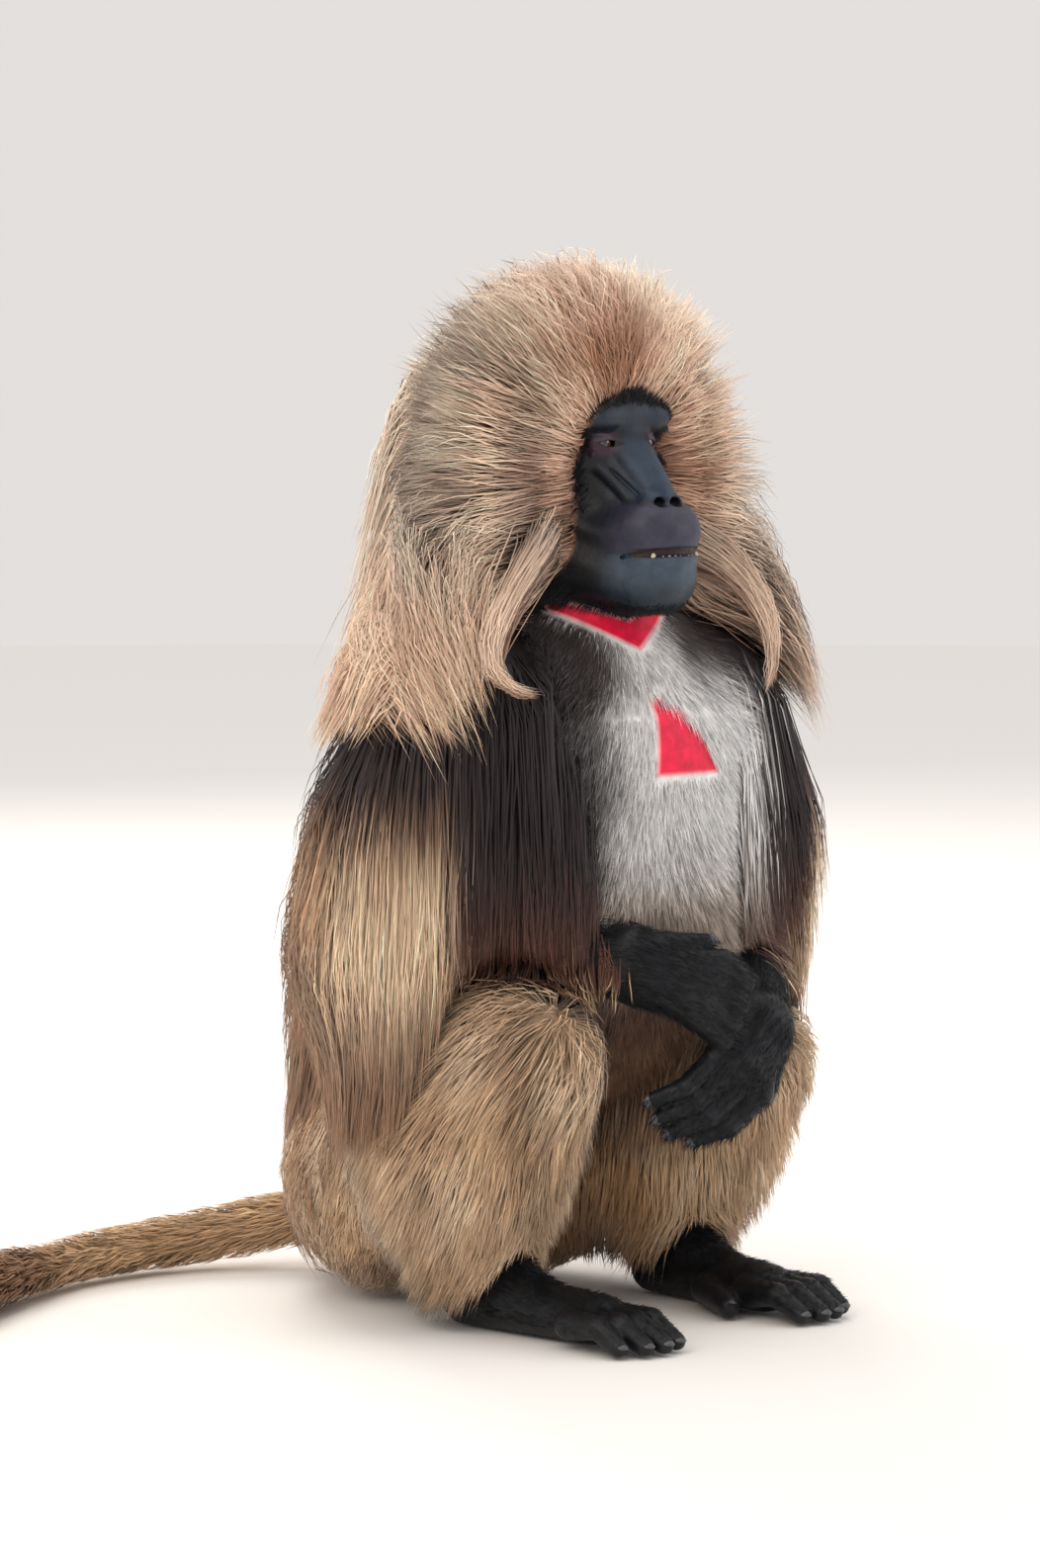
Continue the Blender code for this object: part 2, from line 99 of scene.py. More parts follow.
CAMERA_PLACE, CAMERA_TARGET, CAMERA_LENS = (-2.728, -3.0554, 0.72), (-0.0185, -0.1128, 0.395), 122.6
camera = bpy.data.objects.new("camera", bpy.data.cameras.new("camera"))
camera.data.lens = CAMERA_LENS
camera.data.sensor_width = 36.0
camera.location = CAMERA_PLACE
bpy.context.scene.collection.objects.link(camera)
bpy.context.scene.camera = camera
aim(camera, CAMERA_TARGET)

FLOOR_RADIUS, FLOOR_CORNERS = 9.0, 96
turns = np.linspace(0, 2 * math.pi, FLOOR_CORNERS, endpoint=False)
floor_places = np.stack([np.cos(turns), np.sin(turns), 0 * turns], 1) * FLOOR_RADIUS
floor = new_mesh("floor", floor_places, np.arange(FLOOR_CORNERS)[None])
floor_material, floor_shader = new_material("pale matt floor", 0.9, 0.2)
floor_shader.inputs["Base Color"].default_value = (*linear("#FBFAF8"), 1)
floor.data.materials.append(floor_material)

world = bpy.data.worlds.new("pale air")
world.use_nodes = True
air = world.node_tree.nodes["Background"].inputs
air["Color"].default_value = (*linear("#F3EFEC"), 1)
air["Strength"].default_value = 0.86
bpy.context.scene.world = world
bpy.context.scene.view_settings.view_transform = "Standard"

for light_name, place, size, power, colour in (
    ("front light", (-3.0, -1.1, 2.8), 2.4, 44.0, "#FFF1E2"),
    ("right fill", (2.6, -2.6, 1.7), 2.4, 25.0, "#F6F6FF"),
    ("back light", (1.4, 2.8, 2.6), 2.0, 66.0, "#FFF6EA"),
    ("top light", (0.0, -0.2, 3.2), 2.6, 22.0, "#FFFAF2"),
):
    lamp = bpy.data.objects.new(light_name, bpy.data.lights.new(light_name, "AREA"))
    lamp.data.size = size
    lamp.data.energy = power
    lamp.data.color = linear(colour)
    lamp.location = place
    aim(lamp, (0.0, -0.1, 0.4))
    bpy.context.scene.collection.objects.link(lamp)

# Skin: one hide over the whole body, bare and leathery on the face, palms and soles, thin under the
# coat elsewhere. It is modelled as rounded muscle forms that flow into one another without a seam.

REACH = 0.05
FLOOR_GAP, FLOOR_BLEND = 0.0015, 0.003
SIDES = (-1, 1)
SIDE_NAME = {-1: "right", 1: "left"}
forms, hollows, fine_cuts = [], [], []


def lengths(vectors):
    """The length of each vector."""
    return np.sqrt((vectors * vectors).sum(-1))


def unit(vectors):
    """Each vector at length one."""
    return vectors / np.maximum(lengths(vectors), 1e-9)[..., None]


def cone(start, end, start_radius, end_radius, wide=1.0, across=(1.0, 0.0, 0.0)):
    """Distance to a rounded cone: the way to the nearest point of its middle line, less the radius there.

    Wide stretches it along across. Returned with the corners of the box where it counts.
    """
    start, end, across = np.array(start, float), np.array(end, float), unit(np.array(across, float))

    def squeeze(vectors):
        """The vectors with their share along across divided by wide."""
        return vectors - (vectors @ across)[..., None] * across * (1 - 1 / wide)

    line = squeeze(end - start)
    square = max(float(line @ line), 1e-12)

    def shape(places):
        """The distance of each place."""
        offset = squeeze(places - start)
        share = np.clip(offset @ line / square, 0, 1)
        radius = start_radius + share * (end_radius - start_radius)
        return lengths(offset - share[..., None] * line) - radius

    reach = max(start_radius, end_radius) * max(wide, 1.0) + REACH
    return np.minimum(start, end) - reach, np.maximum(start, end) + reach, shape


def ball(centre, radii, tilt=0.0):
    """Distance to an ellipsoid, tipped nose down about X: the scaled length less one, over its steepness."""
    centre, radii = np.array(centre, float), np.array(radii, float)
    cosine, sine = math.cos(tilt), math.sin(tilt)
    turn = np.array([(1, 0, 0), (0, cosine, -sine), (0, sine, cosine)])

    def shape(places):
        """The distance of each place."""
        offset = (places - centre) @ turn
        scaled = lengths(offset / radii)
        return scaled * (scaled - 1) / np.maximum(lengths(offset / radii**2), 1e-6)

    reach = radii.max() + REACH
    return centre - reach, centre + reach, shape


def merged(first, second, blend):
    """The smaller of two distances, rounded where they are closer than blend."""
    close = np.maximum(blend - np.abs(first - second), 0) / blend
    return np.minimum(first, second) - close * close * blend * 0.25


def on_side(side, place):
    """The place on the left half, mirrored to the right half where side is -1."""
    return np.array([side * place[0], place[1], place[2]])


def between(start, end, share):
    """The point that share of the way from start to end."""
    return np.array(start) + (np.array(end) - np.array(start)) * share


def flesh(group, blend, *shapes):
    """Adds the shapes to the hide, each one rounded into those before it by blend."""
    forms.extend((group, blend, *shape) for shape in shapes)


# Trunk and neck, the belly rounder on its left
SEAT, LOINS, BELLY = (0, 0.005, 0.08), (0, -0.035, 0.19), (0, -0.122, 0.318)
CHEST, WITHERS, THROAT = (0, -0.135, 0.42), (0, -0.12, 0.475), (0, -0.165, 0.515)
LEFT_BELLY, LEFT_CHEST = (0.028, -0.116, 0.3), (0.026, -0.128, 0.42)
flesh("trunk", 0.03, cone(SEAT, LOINS, 0.086, 0.108, 1.15), cone(LOINS, BELLY, 0.108, 0.134, 1.08))
flesh("trunk", 0.03, cone(BELLY, CHEST, 0.134, 0.123, 1.05), cone(CHEST, WITHERS, 0.122, 0.08, 1.2))
flesh("trunk", 0.03, cone(LEFT_BELLY, LEFT_CHEST, 0.131, 0.116, 1.06))
flesh("neck", 0.03, cone((0, -0.12, 0.48), (0, -0.14, 0.6), 0.072, 0.054))
flesh("neck", 0.02, cone(THROAT, (0, -0.18, 0.56), 0.046, 0.036, 1.2))

# Head: skull, brow, nose with its side ridges, deep muzzle, lips, chin and jaw
MUZZLE, CHIN = (0, -0.24, 0.5865), (0, -0.24, 0.5535)
EYE, EYE_RADIUS = (0.021, -0.2005, 0.652), 0.0105
flesh("head", 0.01, ball((0, -0.158, 0.68), (0.054, 0.06, 0.047)))
flesh("head", 0.012, cone((0, -0.183, 0.64), (0, -0.196, 0.59), 0.034, 0.034))
for side in SIDES:
    brow_end, cheekbone = on_side(side, (0.0448, -0.1905, 0.6652)), on_side(side, (0.051, -0.18, 0.636))
    jaw_angle = on_side(side, (0.044, -0.17, 0.566))
    flesh("head", 0.008, cone((side * 0.03, -0.2095, 0.671), brow_end, 0.0098, 0.0095))
    flesh("head", 0.008, cone(brow_end, cheekbone, 0.0095, 0.012))
    flesh("head", 0.008, cone(cheekbone, (side * 0.027, -0.2, 0.6385), 0.012, 0.0075))
    flesh("head", 0.012, cone(cheekbone, jaw_angle, 0.018, 0.022))
    flesh("head", 0.012, cone(jaw_angle, (side * 0.014, -0.236, 0.551), 0.024, 0.022))
    flesh("head", 0.012, cone((side * 0.024, -0.176, 0.604), (side * 0.012, -0.23, 0.58), 0.027, 0.025))
    flesh("head", 0.006, cone((0, -0.207, 0.6695), (side * 0.022, -0.2095, 0.6712), 0.0084, 0.0101))
flesh("head", 0.006, cone((0, -0.203, 0.652), (0, -0.2385, 0.6175), 0.017, 0.012, 1.25))
for side in SIDES:
    fold = (side * 0.0175, -0.208, 0.636), (side * 0.0112, -0.235, 0.613)
    ridge = (side * 0.0262, -0.202, 0.6385), (side * 0.0168, -0.2325, 0.608)
    flesh("head", 0.003, cone(*fold, 0.0072, 0.0062))
    flesh("head", 0.0025, cone(*ridge, 0.0062, 0.005))
flesh("head", 0.0045, ball(MUZZLE, (0.0322, 0.0305, 0.0232), 0.1))
flesh("head", 0.01, *(ball((side * 0.0148, -0.242, 0.59), (0.0182, 0.0182, 0.0182)) for side in SIDES))
flesh("head", 0.005, ball(between(MUZZLE, CHIN, 0.5), (0.0318, 0.0304, 0.019)))
flesh("head", 0.005, ball((0, -0.2385, 0.5565), (0.0322, 0.0285, 0.0262), -0.25))
flesh("head", 0.004, ball((0, -0.245, 0.613), (0.0075, 0.008, 0.0065)))
for side in SIDES:
    flesh("head", 0.004, ball((side * 0.0095, -0.244, 0.6095), (0.008, 0.009, 0.0065)))
    hollows.append((0.01, *ball((side * 0.042, -0.22, 0.612), (0.015, 0.022, 0.018))))

# Lids: a thin shell round the eyeball, open in an almond slit, with a pouch below
LID_RADIUS = EYE_RADIUS + 0.0013
LID_SLIT = (0.0068, 0.0019, 0.0024)
SLIT_DEPTH, SLIT_REACH = 0.0045, EYE_RADIUS + 0.0036
for side in SIDES:
    eye_centre = on_side(side, EYE)
    flesh("head", 0.0022, ball(eye_centre, (LID_RADIUS, LID_RADIUS, LID_RADIUS * 0.92)))
    pouch = eye_centre + (side * 0.009, -0.005, -0.0085), eye_centre + (-side * 0.007, -0.0095, -0.008)
    flesh("head", 0.003, cone(*pouch, 0.0034, 0.003))


def almond(centre, half_width, upper, lower):
    """Distance to a lens-shaped plug between two arcs, in front of the eye and close round its ball."""
    def shape(places):
        """The distance of each place."""
        arc = 1 - ((places[..., 0] - centre[0]) / half_width) ** 2
        height = places[..., 2] - centre[2]
        rise = np.maximum(height - upper * arc, -lower * arc - height)
        out = lengths(places - centre) - SLIT_REACH
        return np.maximum(np.maximum(rise * 0.85, places[..., 1] - (centre[1] - SLIT_DEPTH)), out)

    reach = np.array([half_width * 1.1, 0.02, upper + lower])
    return centre - reach, centre + reach, shape


def polyline(stations, blend):
    """Fine cuts along the stations (place, radius), one rounded cone after the other."""
    margin = REACH - 0.012
    for (start, start_radius), (end, end_radius) in zip(stations, stations[1:]):
        low, high, shape = cone(start, end, start_radius, end_radius)
        fine_cuts.append((blend, low + margin, high - margin, shape))


for side in SIDES:
    fine_cuts.append((0.0009, *almond(on_side(side, EYE), *LID_SLIT)))
    fine_cuts.append((0.0014, *ball((side * 0.008, -0.253, 0.609), (0.0056, 0.008, 0.0043), -0.3)))
    furrow = (side * 0.0232, -0.211, 0.6355), (side * 0.0152, -0.238, 0.6135)
    polyline([(place, 0.001) for place in furrow], 0.0022)

# Mouth: a slit round the front of the muzzle, a little open in front
LIP_HALF_WIDTH, LIP_DEPTH, LIP_HEIGHT = 0.0335, 0.0312, 0.5715
mouth_turns = np.radians(np.linspace(-104, 104, 27))
mouth_open = np.clip(1 - (mouth_turns / 1.15) ** 2, 0, 1) ** 0.6
mouth_x = LIP_HALF_WIDTH * np.sin(mouth_turns)
mouth_y = MUZZLE[1] - LIP_DEPTH * np.cos(mouth_turns) + 0.0012
mouth_z = LIP_HEIGHT + 0.0022 * np.cos(mouth_turns) - 0.0035 * (np.abs(mouth_turns) / 1.8) ** 3
polyline(list(zip(np.stack([mouth_x, mouth_y, mouth_z], 1), 0.0012 + 0.0022 * mouth_open)), 0.0016)

# Arms, with the right hand laid over the left
SHOULDER = (0.118, -0.16, 0.462)
ELBOW = {-1: (-0.158, -0.12, 0.285), 1: (0.158, -0.145, 0.28)}
WRIST = {-1: (-0.058, -0.268, 0.276), 1: (0.056, -0.296, 0.226)}
KNUCKLES = {-1: (-0.006, -0.306, 0.254), 1: (0.022, -0.306, 0.19)}
FINGER_BEND = {-1: (0.012, -0.314, 0.236), 1: (-0.014, -0.303, 0.165)}
FINGERTIPS = {-1: (0.01, -0.296, 0.214), 1: (-0.036, -0.285, 0.155)}
fingertips = []
for side in SIDES:
    shoulder, elbow, wrist = on_side(side, SHOULDER), np.array(ELBOW[side]), np.array(WRIST[side])
    arm_middle, fore_middle = between(shoulder, elbow, 0.5), between(elbow, wrist, 0.4)
    arm, fore = "arm_" + SIDE_NAME[side], "forearm_" + SIDE_NAME[side]
    flesh(arm, 0.03, cone(on_side(side, (0.06, -0.125, 0.475)), shoulder, 0.055, 0.052))
    flesh(arm, 0.015, cone(shoulder, arm_middle, 0.052, 0.045))
    flesh(arm, 0.012, cone(arm_middle, elbow, 0.045, 0.033))
    flesh(fore, 0.008, cone(elbow, fore_middle, 0.032, 0.031), cone(fore_middle, wrist, 0.031, 0.02))

for side in SIDES:
    wrist, knuckles = np.array(WRIST[side]), np.array(KNUCKLES[side])
    bend, tips = np.array(FINGER_BEND[side]), np.array(FINGERTIPS[side])
    hand = "hand_" + SIDE_NAME[side]
    along = unit(knuckles - wrist)
    spread = np.array((0, 0, 1.0) if side < 0 else (0.75, -0.25, -0.62))
    spread = unit(spread - along * (spread @ along))
    flesh(hand, 0.006, cone(wrist, between(wrist, knuckles, 0.85), 0.0195, 0.0165, 1.45, spread))
    for i in range(4):
        knuckle = knuckles + spread * (0.0155 * (1.5 - i))
        reach = 1.0 - 0.1 * abs(i - 1.3)
        middle = knuckle + (bend - knuckles) * reach
        tip = middle + (tips - bend) * reach
        flesh(hand, 0.005, cone(between(wrist, knuckle, 0.6), knuckle, 0.0105, 0.0094))
        flesh(hand, 0.0016, cone(knuckle, middle, 0.0088, 0.0078))
        flesh(hand, 0.002, cone(middle, tip, 0.0078, 0.006))
        fingertips.append((middle, tip, 0.006))
    thumb_root = between(wrist, knuckles, 0.3) + spread * 0.02
    thumb_tip = between(wrist, knuckles, 0.85) + spread * 0.035 + (0, 0.008, 0)
    flesh(hand, 0.003, cone(thumb_root, thumb_tip, 0.01, 0.0058))
    fingertips.append((thumb_root, thumb_tip, 0.0058))

# Legs, drawn up with the soles flat
HIP = (0.07, -0.035, 0.105)
KNEE = {-1: (-0.122, -0.23, 0.207), 1: (0.11, -0.212, 0.19)}
ANKLE = {-1: (-0.1, -0.165, 0.045), 1: (0.098, -0.16, 0.045)}
TOES = {-1: (-0.088, -0.342, 0.012), 1: (0.086, -0.328, 0.012)}
toe_tips = []


def leg_joints(side):
    """Hip, middle of the thigh, knee, middle of the calf and heel of one leg."""
    hip, knee, ankle = on_side(side, HIP), np.array(KNEE[side]), np.array(ANKLE[side])
    calf = between(knee, ankle, 0.45) + (side * 0.008, 0.028, 0)
    return hip, between(hip, knee, 0.55), knee, calf, ankle + (side * 0.006, 0.006, 0.03)


for side in SIDES:
    hip, thigh_middle, knee, calf, heel = leg_joints(side)
    thigh, shank = "thigh_" + SIDE_NAME[side], "shank_" + SIDE_NAME[side]
    flesh(thigh, 0.022, cone(hip, thigh_middle, 0.076, 0.07))
    flesh(thigh, 0.02, cone(thigh_middle, knee, 0.07, 0.045))
    flesh(shank, 0.02, cone(between(knee, calf, 0.35), calf, 0.04, 0.052, 1.1))
    flesh(shank, 0.015, cone(calf, heel, 0.052, 0.034, 1.1))

for side in SIDES:
    ankle, toes = np.array(ANKLE[side]), np.array(TOES[side])
    foot = "foot_" + SIDE_NAME[side]
    sole_back = np.array((ankle[0], ankle[1] + 0.012, 0.02))
    toe_root = between(sole_back, toes, 0.66)
    toe_root[2] = 0.019
    flesh(foot, 0.008, cone(sole_back, toe_root, 0.0215, 0.0185, 1.25))
    flesh(foot, 0.01, cone(ankle, between(sole_back, toe_root, 0.5) + (0, 0, 0.006), 0.024, 0.018))
    for i, reach in enumerate((0.05, 0.06, 0.063, 0.058)):
        offset = side * (0.0285 - 0.0165 * i)
        knuckle = np.array((toe_root[0] + offset, toe_root[1] - reach * 0.55, 0.0205))
        tip = np.array((toe_root[0] + offset, toe_root[1] - reach, 0.0085))
        flesh(foot, 0.004, cone(toe_root + (offset * 0.9, 0.004, -0.001), knuckle, 0.0115, 0.009))
        flesh(foot, 0.002, cone(knuckle, tip, 0.009, 0.007))
        toe_tips.append((knuckle, tip, 0.007))
    big_toe = toe_root + (-side * 0.022, 0.04, -0.003), toe_root + (-side * 0.043, -0.004, -0.0085)
    flesh(foot, 0.004, cone(*big_toe, 0.0125, 0.0084))
    toe_tips.append((*big_toe, 0.0084))

# Tail: it leaves the rump, lies down and sweeps to the animal's right
TAIL_RADIUS, TAIL_STEPS = 0.021, 24
tail_share = np.linspace(0, 1, TAIL_STEPS + 1)
tail_y = 0.085 + 0.12 * np.sin(np.radians(150) * tail_share) - 0.08 * tail_share**2
tail_z = TAIL_RADIUS + 0.04 * (1 - tail_share) ** 4 - 0.002
tail_route = np.stack([-0.43 * tail_share**1.35, tail_y, tail_z], 1)
tail_thickness = [0.015 - 0.007 * share for share in tail_share]
for i in range(TAIL_STEPS):
    flesh("tail", 0.004, cone(tail_route[i], tail_route[i + 1], tail_thickness[i], tail_thickness[i + 1]))


def near_form(places, low, high):
    """The numbers of the places in the box where a form counts."""
    return np.flatnonzero(((places > low) & (places < high)).all(1))


def skin_distance(places):
    """Distance to the hide: its forms merged one after the other, less the hollows and the fine cuts."""
    distance = np.full(len(places), REACH)
    for _, blend, low, high, shape in forms:
        near = near_form(places, low, high)
        distance[near] = merged(distance[near], shape(places[near]), blend)
    for blend, low, high, shape in hollows + fine_cuts:
        near = near_form(places, low, high)
        distance[near] = -merged(-distance[near], shape(places[near]), blend)
    return -merged(-distance, places[:, 2] - FLOOR_GAP, FLOOR_BLEND)


def nearest_group(places):
    """The number in group_names of the form that is nearest to each place."""
    nearest, owner = np.full(len(places), REACH), np.zeros(len(places), int)
    for group, _, low, high, shape in forms:
        near = near_form(places, low, high)
        distance = shape(places[near])
        closer = distance < nearest[near]
        nearest[near[closer]] = distance[closer]
        owner[near[closer]] = group_names.index(group)
    return owner


group_names = sorted({form[0] for form in forms})
GRID_STEP = 0.0055
GRID_LOW, GRID_HIGH = (-0.52, -0.42, -0.03), (0.3, 0.28, 0.87)
grid_axes = [np.arange(low, high, GRID_STEP) for low, high in zip(GRID_LOW, GRID_HIGH)]


def filled_grid(shapes, cuts=()):
    """The merged distance at every crossing of the grid."""
    field = np.full([len(axis) for axis in grid_axes], REACH)
    for sign, parts in ((1, [shape[1:] for shape in shapes]), (-1, cuts)):
        for blend, low, high, shape in parts:
            part = tuple(slice(*np.searchsorted(axis, ends)) for axis, ends in zip(grid_axes, zip(low, high)))
            lines = [axis[stretch] for axis, stretch in zip(grid_axes, part)]
            places = np.stack(np.meshgrid(*lines, indexing="ij"), -1)
            field[part] = sign * merged(sign * field[part], shape(places), blend)
    return -merged(-field, np.broadcast_to(grid_axes[2] - FLOOR_GAP, field.shape), FLOOR_BLEND)


skin_grid = filled_grid(forms, hollows)


def net_mesh(field):
    """Points and four-cornered faces of the surface where the field is zero.

    Each grid cell that the surface passes holds one point, the mean of the crossings on its edges, and
    each grid edge that it crosses holds one face between the four cells round it.
    """
    inside = field < 0
    count = np.zeros([size - 1 for size in field.shape], int)
    for shift in np.ndindex(2, 2, 2):
        count += inside[tuple(slice(s, s + size - 1) for s, size in zip(shift, field.shape))]
    cells = np.argwhere((count > 0) & (count < 8))
    number = np.full(count.shape, -1)
    number[tuple(cells.T)] = np.arange(len(cells))
    total, crossings, faces = np.zeros((len(cells), 3)), np.zeros(len(cells)), []
    for axis in range(3):
        others = [i for i in range(3) if i != axis]
        for shift in np.ndindex(2, 2):
            near_end = cells.copy()
            near_end[:, others] += shift
            far_end = near_end.copy()
            far_end[:, axis] += 1
            near_value, far_value = field[tuple(near_end.T)], field[tuple(far_end.T)]
            crossed = np.flatnonzero((near_value < 0) != (far_value < 0))
            point = near_end[crossed].astype(float)
            point[:, axis] += near_value[crossed] / (near_value[crossed] - far_value[crossed])
            total[crossed] += point
            crossings[crossed] += 1
    for axis in range(3):
        around = [(1, 2), (2, 0), (0, 1)][axis]
        steps = range(inside.shape[axis] - 1)
        near_inside, far_inside = inside.take(steps, axis), inside.take(np.add(steps, 1), axis)
        edges = np.argwhere(near_inside != far_inside)
        quad = []
        for back in ((1, 1), (0, 1), (0, 0), (1, 0)):
            cell = edges.copy()
            cell[:, around] -= back
            quad.append(number[tuple(cell.T)])
        quad = np.stack(quad, 1)
        turned = far_inside[tuple(edges.T)]
        quad[turned] = quad[turned][:, ::-1]
        faces.append(quad)
    return total / crossings[:, None] * GRID_STEP + [axis[0] for axis in grid_axes], np.concatenate(faces)


def refined(places, faces, chosen):
    """The mesh with every edge between two chosen points split in half, faces and all."""
    bm = bmesh.new()
    mesh = bpy.data.meshes.new("refined")
    mesh.from_pydata(places, [], faces)
    bm.from_mesh(mesh)
    edges = [edge for edge in bm.edges if chosen[edge.verts[0].index] and chosen[edge.verts[1].index]]
    bmesh.ops.subdivide_edges(bm, edges=edges, cuts=1, use_grid_fill=True)
    bmesh.ops.triangulate(bm, faces=bm.faces)
    bm.to_mesh(mesh)
    bm.free()
    fresh, corners = np.empty(len(mesh.vertices) * 3), np.empty(len(mesh.loops), int)
    mesh.vertices.foreach_get("co", fresh)
    mesh.loops.foreach_get("vertex_index", corners)
    bpy.data.meshes.remove(mesh)
    return fresh.reshape(-1, 3), corners.reshape(-1, 3)


def point_normals(places, faces):
    """The outward direction at each point: the sum of its triangles' normals, at length one."""
    a, b, c = (places[faces[:, i]] for i in range(3))
    across = np.cross(b - a, c - a)
    count = len(places)
    total = [sum(np.bincount(faces[:, i], across[:, k], count) for i in range(3)) for k in range(3)]
    return unit(np.stack(total, 1))


def neighbour_sum(values, faces):
    """The sum of the values at each point's neighbours along the triangles' edges, and their count."""
    first, second = faces.T.ravel(), faces[:, [1, 2, 0]].T.ravel()
    ends = ((first, second), (second, first))
    total = [sum(np.bincount(a, values[b, k], len(values)) for a, b in ends) for k in range(3)]
    return np.stack(total, 1), sum(np.bincount(a, minlength=len(values)) for a, _ in ends)[:, None]


RELAX, LONGEST_STEP, LOST_POINT = 0.5, 0.003, 0.0015


def settled(places, faces, rounds):
    """The points evened out along the surface, then moved along their normals onto the hide.

    A point that ends away from the hide goes back to the mean of its neighbours.
    """
    for _ in range(rounds):
        normals = point_normals(places, faces)
        total, count = neighbour_sum(places, faces)
        mean = total / count
        slide = (mean - places) * RELAX
        places = places + slide - (slide * normals).sum(1)[:, None] * normals
        for _ in range(2):
            step = np.clip(skin_distance(places), -LONGEST_STEP, LONGEST_STEP)
            places = places - normals * step[:, None]
        lost = np.abs(skin_distance(places)) > LOST_POINT
        places[lost] = mean[lost]
    return places


def in_box(places, low, high):
    """Which places are in the box, whose x counts on both sides."""
    folded = np.stack([np.abs(places[:, 0]), places[:, 1], places[:, 2]], 1)
    return ((folded > low) & (folded < high)).all(1)


def chest_patch(places):
    """How deep each place lies in the bare red patches of chest and throat, in metres, less outside."""
    x, z = places[..., 0], places[..., 2]
    down = (0.469 - z) / 0.058
    left_edge, right_edge = -0.016 - 0.003 * down, -0.015 + 0.058 * np.clip(down, 0, 1) ** 0.65
    lower = np.minimum(np.minimum(x - left_edge, right_edge - x) * 0.8, np.minimum(down, 1 - down) * 0.058)
    reach = np.abs(x + 0.006)
    throat = np.minimum(z - 0.502 - 0.56 * reach, 0.52 + 0.33 * reach - z) * 0.85
    front = np.where(places[..., 1] < -0.165, 0, -1)
    return np.maximum(lower, np.minimum(throat, 0.056 - np.abs(x))) + front


FACE_BOX = ((-1, -0.3, 0.515), (0.06, -0.185, 0.69))
PATCH_BOX = ((-1, -0.3, 0.4), (0.066, -0.165, 0.545))
FINE_FACE_BOX = ((-1, -0.3, 0.53), (0.046, -0.192, 0.685))
EYE_BOX = ((0.008, -0.3, 0.638), (0.036, -0.196, 0.668))
NOSTRIL_BOX = ((-1, -0.3, 0.602), (0.016, -0.24, 0.616))
MOUTH_BOX = ((-1, -0.3, 0.562), (0.04, -0.228, 0.581))
skin_places, skin_faces = net_mesh(skin_grid)
skin_faces = np.concatenate([skin_faces[:, [0, 1, 2]], skin_faces[:, [0, 2, 3]]])
skin_places = settled(skin_places, skin_faces, 2)
fine_groups = [i for i, name in enumerate(group_names) if name.split("_")[0] in ("hand", "foot")]
FINE_BOXES = ((FACE_BOX, PATCH_BOX), (FINE_FACE_BOX,), (EYE_BOX, NOSTRIL_BOX, MOUTH_BOX))
for level, boxes in enumerate(FINE_BOXES):
    wanted = np.any([in_box(skin_places, *box) for box in boxes], axis=0)
    if level == 0:
        wanted = wanted | np.isin(nearest_group(skin_places), fine_groups)
    if level == 1:
        wanted = wanted | (np.abs(chest_patch(skin_places)) < 0.006)
    skin_places, skin_faces = refined(skin_places, skin_faces, wanted)
    skin_places = settled(skin_places, skin_faces, level + 2)

skin_groups = nearest_group(skin_places)
skin_normals = point_normals(skin_places, skin_faces)


def soft(values, start, end):
    """0 up to start and 1 from end on, with an S-shaped rise between them."""
    share = np.clip((values - start) / (end - start), 0, 1)
    return share * share * (3 - 2 * share)


def mixed(first, second, share):
    """Colours that go from first to second with share."""
    return first + (second - first) * np.asarray(share)[..., None]


def layered(colour, *layers):
    """The colour with each layer's own colour laid over it by the layer's share."""
    for own, share in layers:
        colour = mixed(colour, own, share)
    return colour


def ripple(places, size, seed):
    """A smooth uneven pattern between 0 and 1 of patches about size across: crossed sine waves."""
    random = np.random.default_rng(seed)
    total = np.zeros(places.shape[:-1])
    for _ in range(6):
        way = unit(random.normal(size=3)) * random.uniform(0.6, 1.5) * 2 * math.pi / size
        total += np.sin(places @ way + random.uniform(0, 7))
    return np.clip(0.5 + total / 6, 0, 1)


# Colours of the bare skin and of the coat
FACE_SLATE, BROW_SLATE_AND_HIGHLIGHT, NOSE_BLUE_AND_HIGHLIGHT = map(linear, ("#1B222D", "#262F3B", "#2C3E50"))
LIP_MAUVE, CHIN_SLATE, CHIN_TEAL = map(linear, ("#403E4D", "#475562", "#222F39"))
LID_MAUVE, POUCH_PLUM, BLACK_AND_PAINTED_SHADE = map(linear, ("#5C4C57", "#482F3A", "#0B0E14"))
MOUTH_INSIDE_AND_SHADE, PATCH_RED, PATCH_PINK = map(linear, ("#2A1519", "#E0103E", "#EFA0A6"))
CREAM, PALE_TIP, MANE_BROWN = map(linear, ("#EBC9AE", "#FCE7D6", "#A0725A"))
CHESTNUT, CAPE_BLACK, CAPE_RED = map(linear, ("#9C6748", "#241A1D", "#5C3829"))
GOLD, CAPE_BUFF, CAPE_GREY = map(linear, ("#F2D5B4", "#AB8262", "#7E685A"))
CHEST_WHITE, CHEST_DARK, BELLY_GREY = map(linear, ("#FCFBFA", "#3E3636", "#A6978A"))
LEG_BUFF, LEG_PALE, LEG_BROWN, RUST = map(linear, ("#C8A684", "#ECD5B8", "#846A54", "#C98F55"))
TAIL_BUFF, TAIL_TUFT, HAIR_BLACK = map(linear, ("#D2AE88", "#A47A56", "#06080B"))
FACE_CENTRE = np.array((0, -0.165, 0.635))


def face_angles(places):
    """For places on the head: the angle from straight ahead, and round from the top to the chin."""
    offset = places - FACE_CENTRE
    ahead = np.degrees(np.arccos(np.clip(-offset[..., 1] / np.maximum(lengths(offset), 1e-6), -1, 1)))
    return ahead, np.degrees(np.arctan2(np.abs(offset[..., 0]), offset[..., 2]))


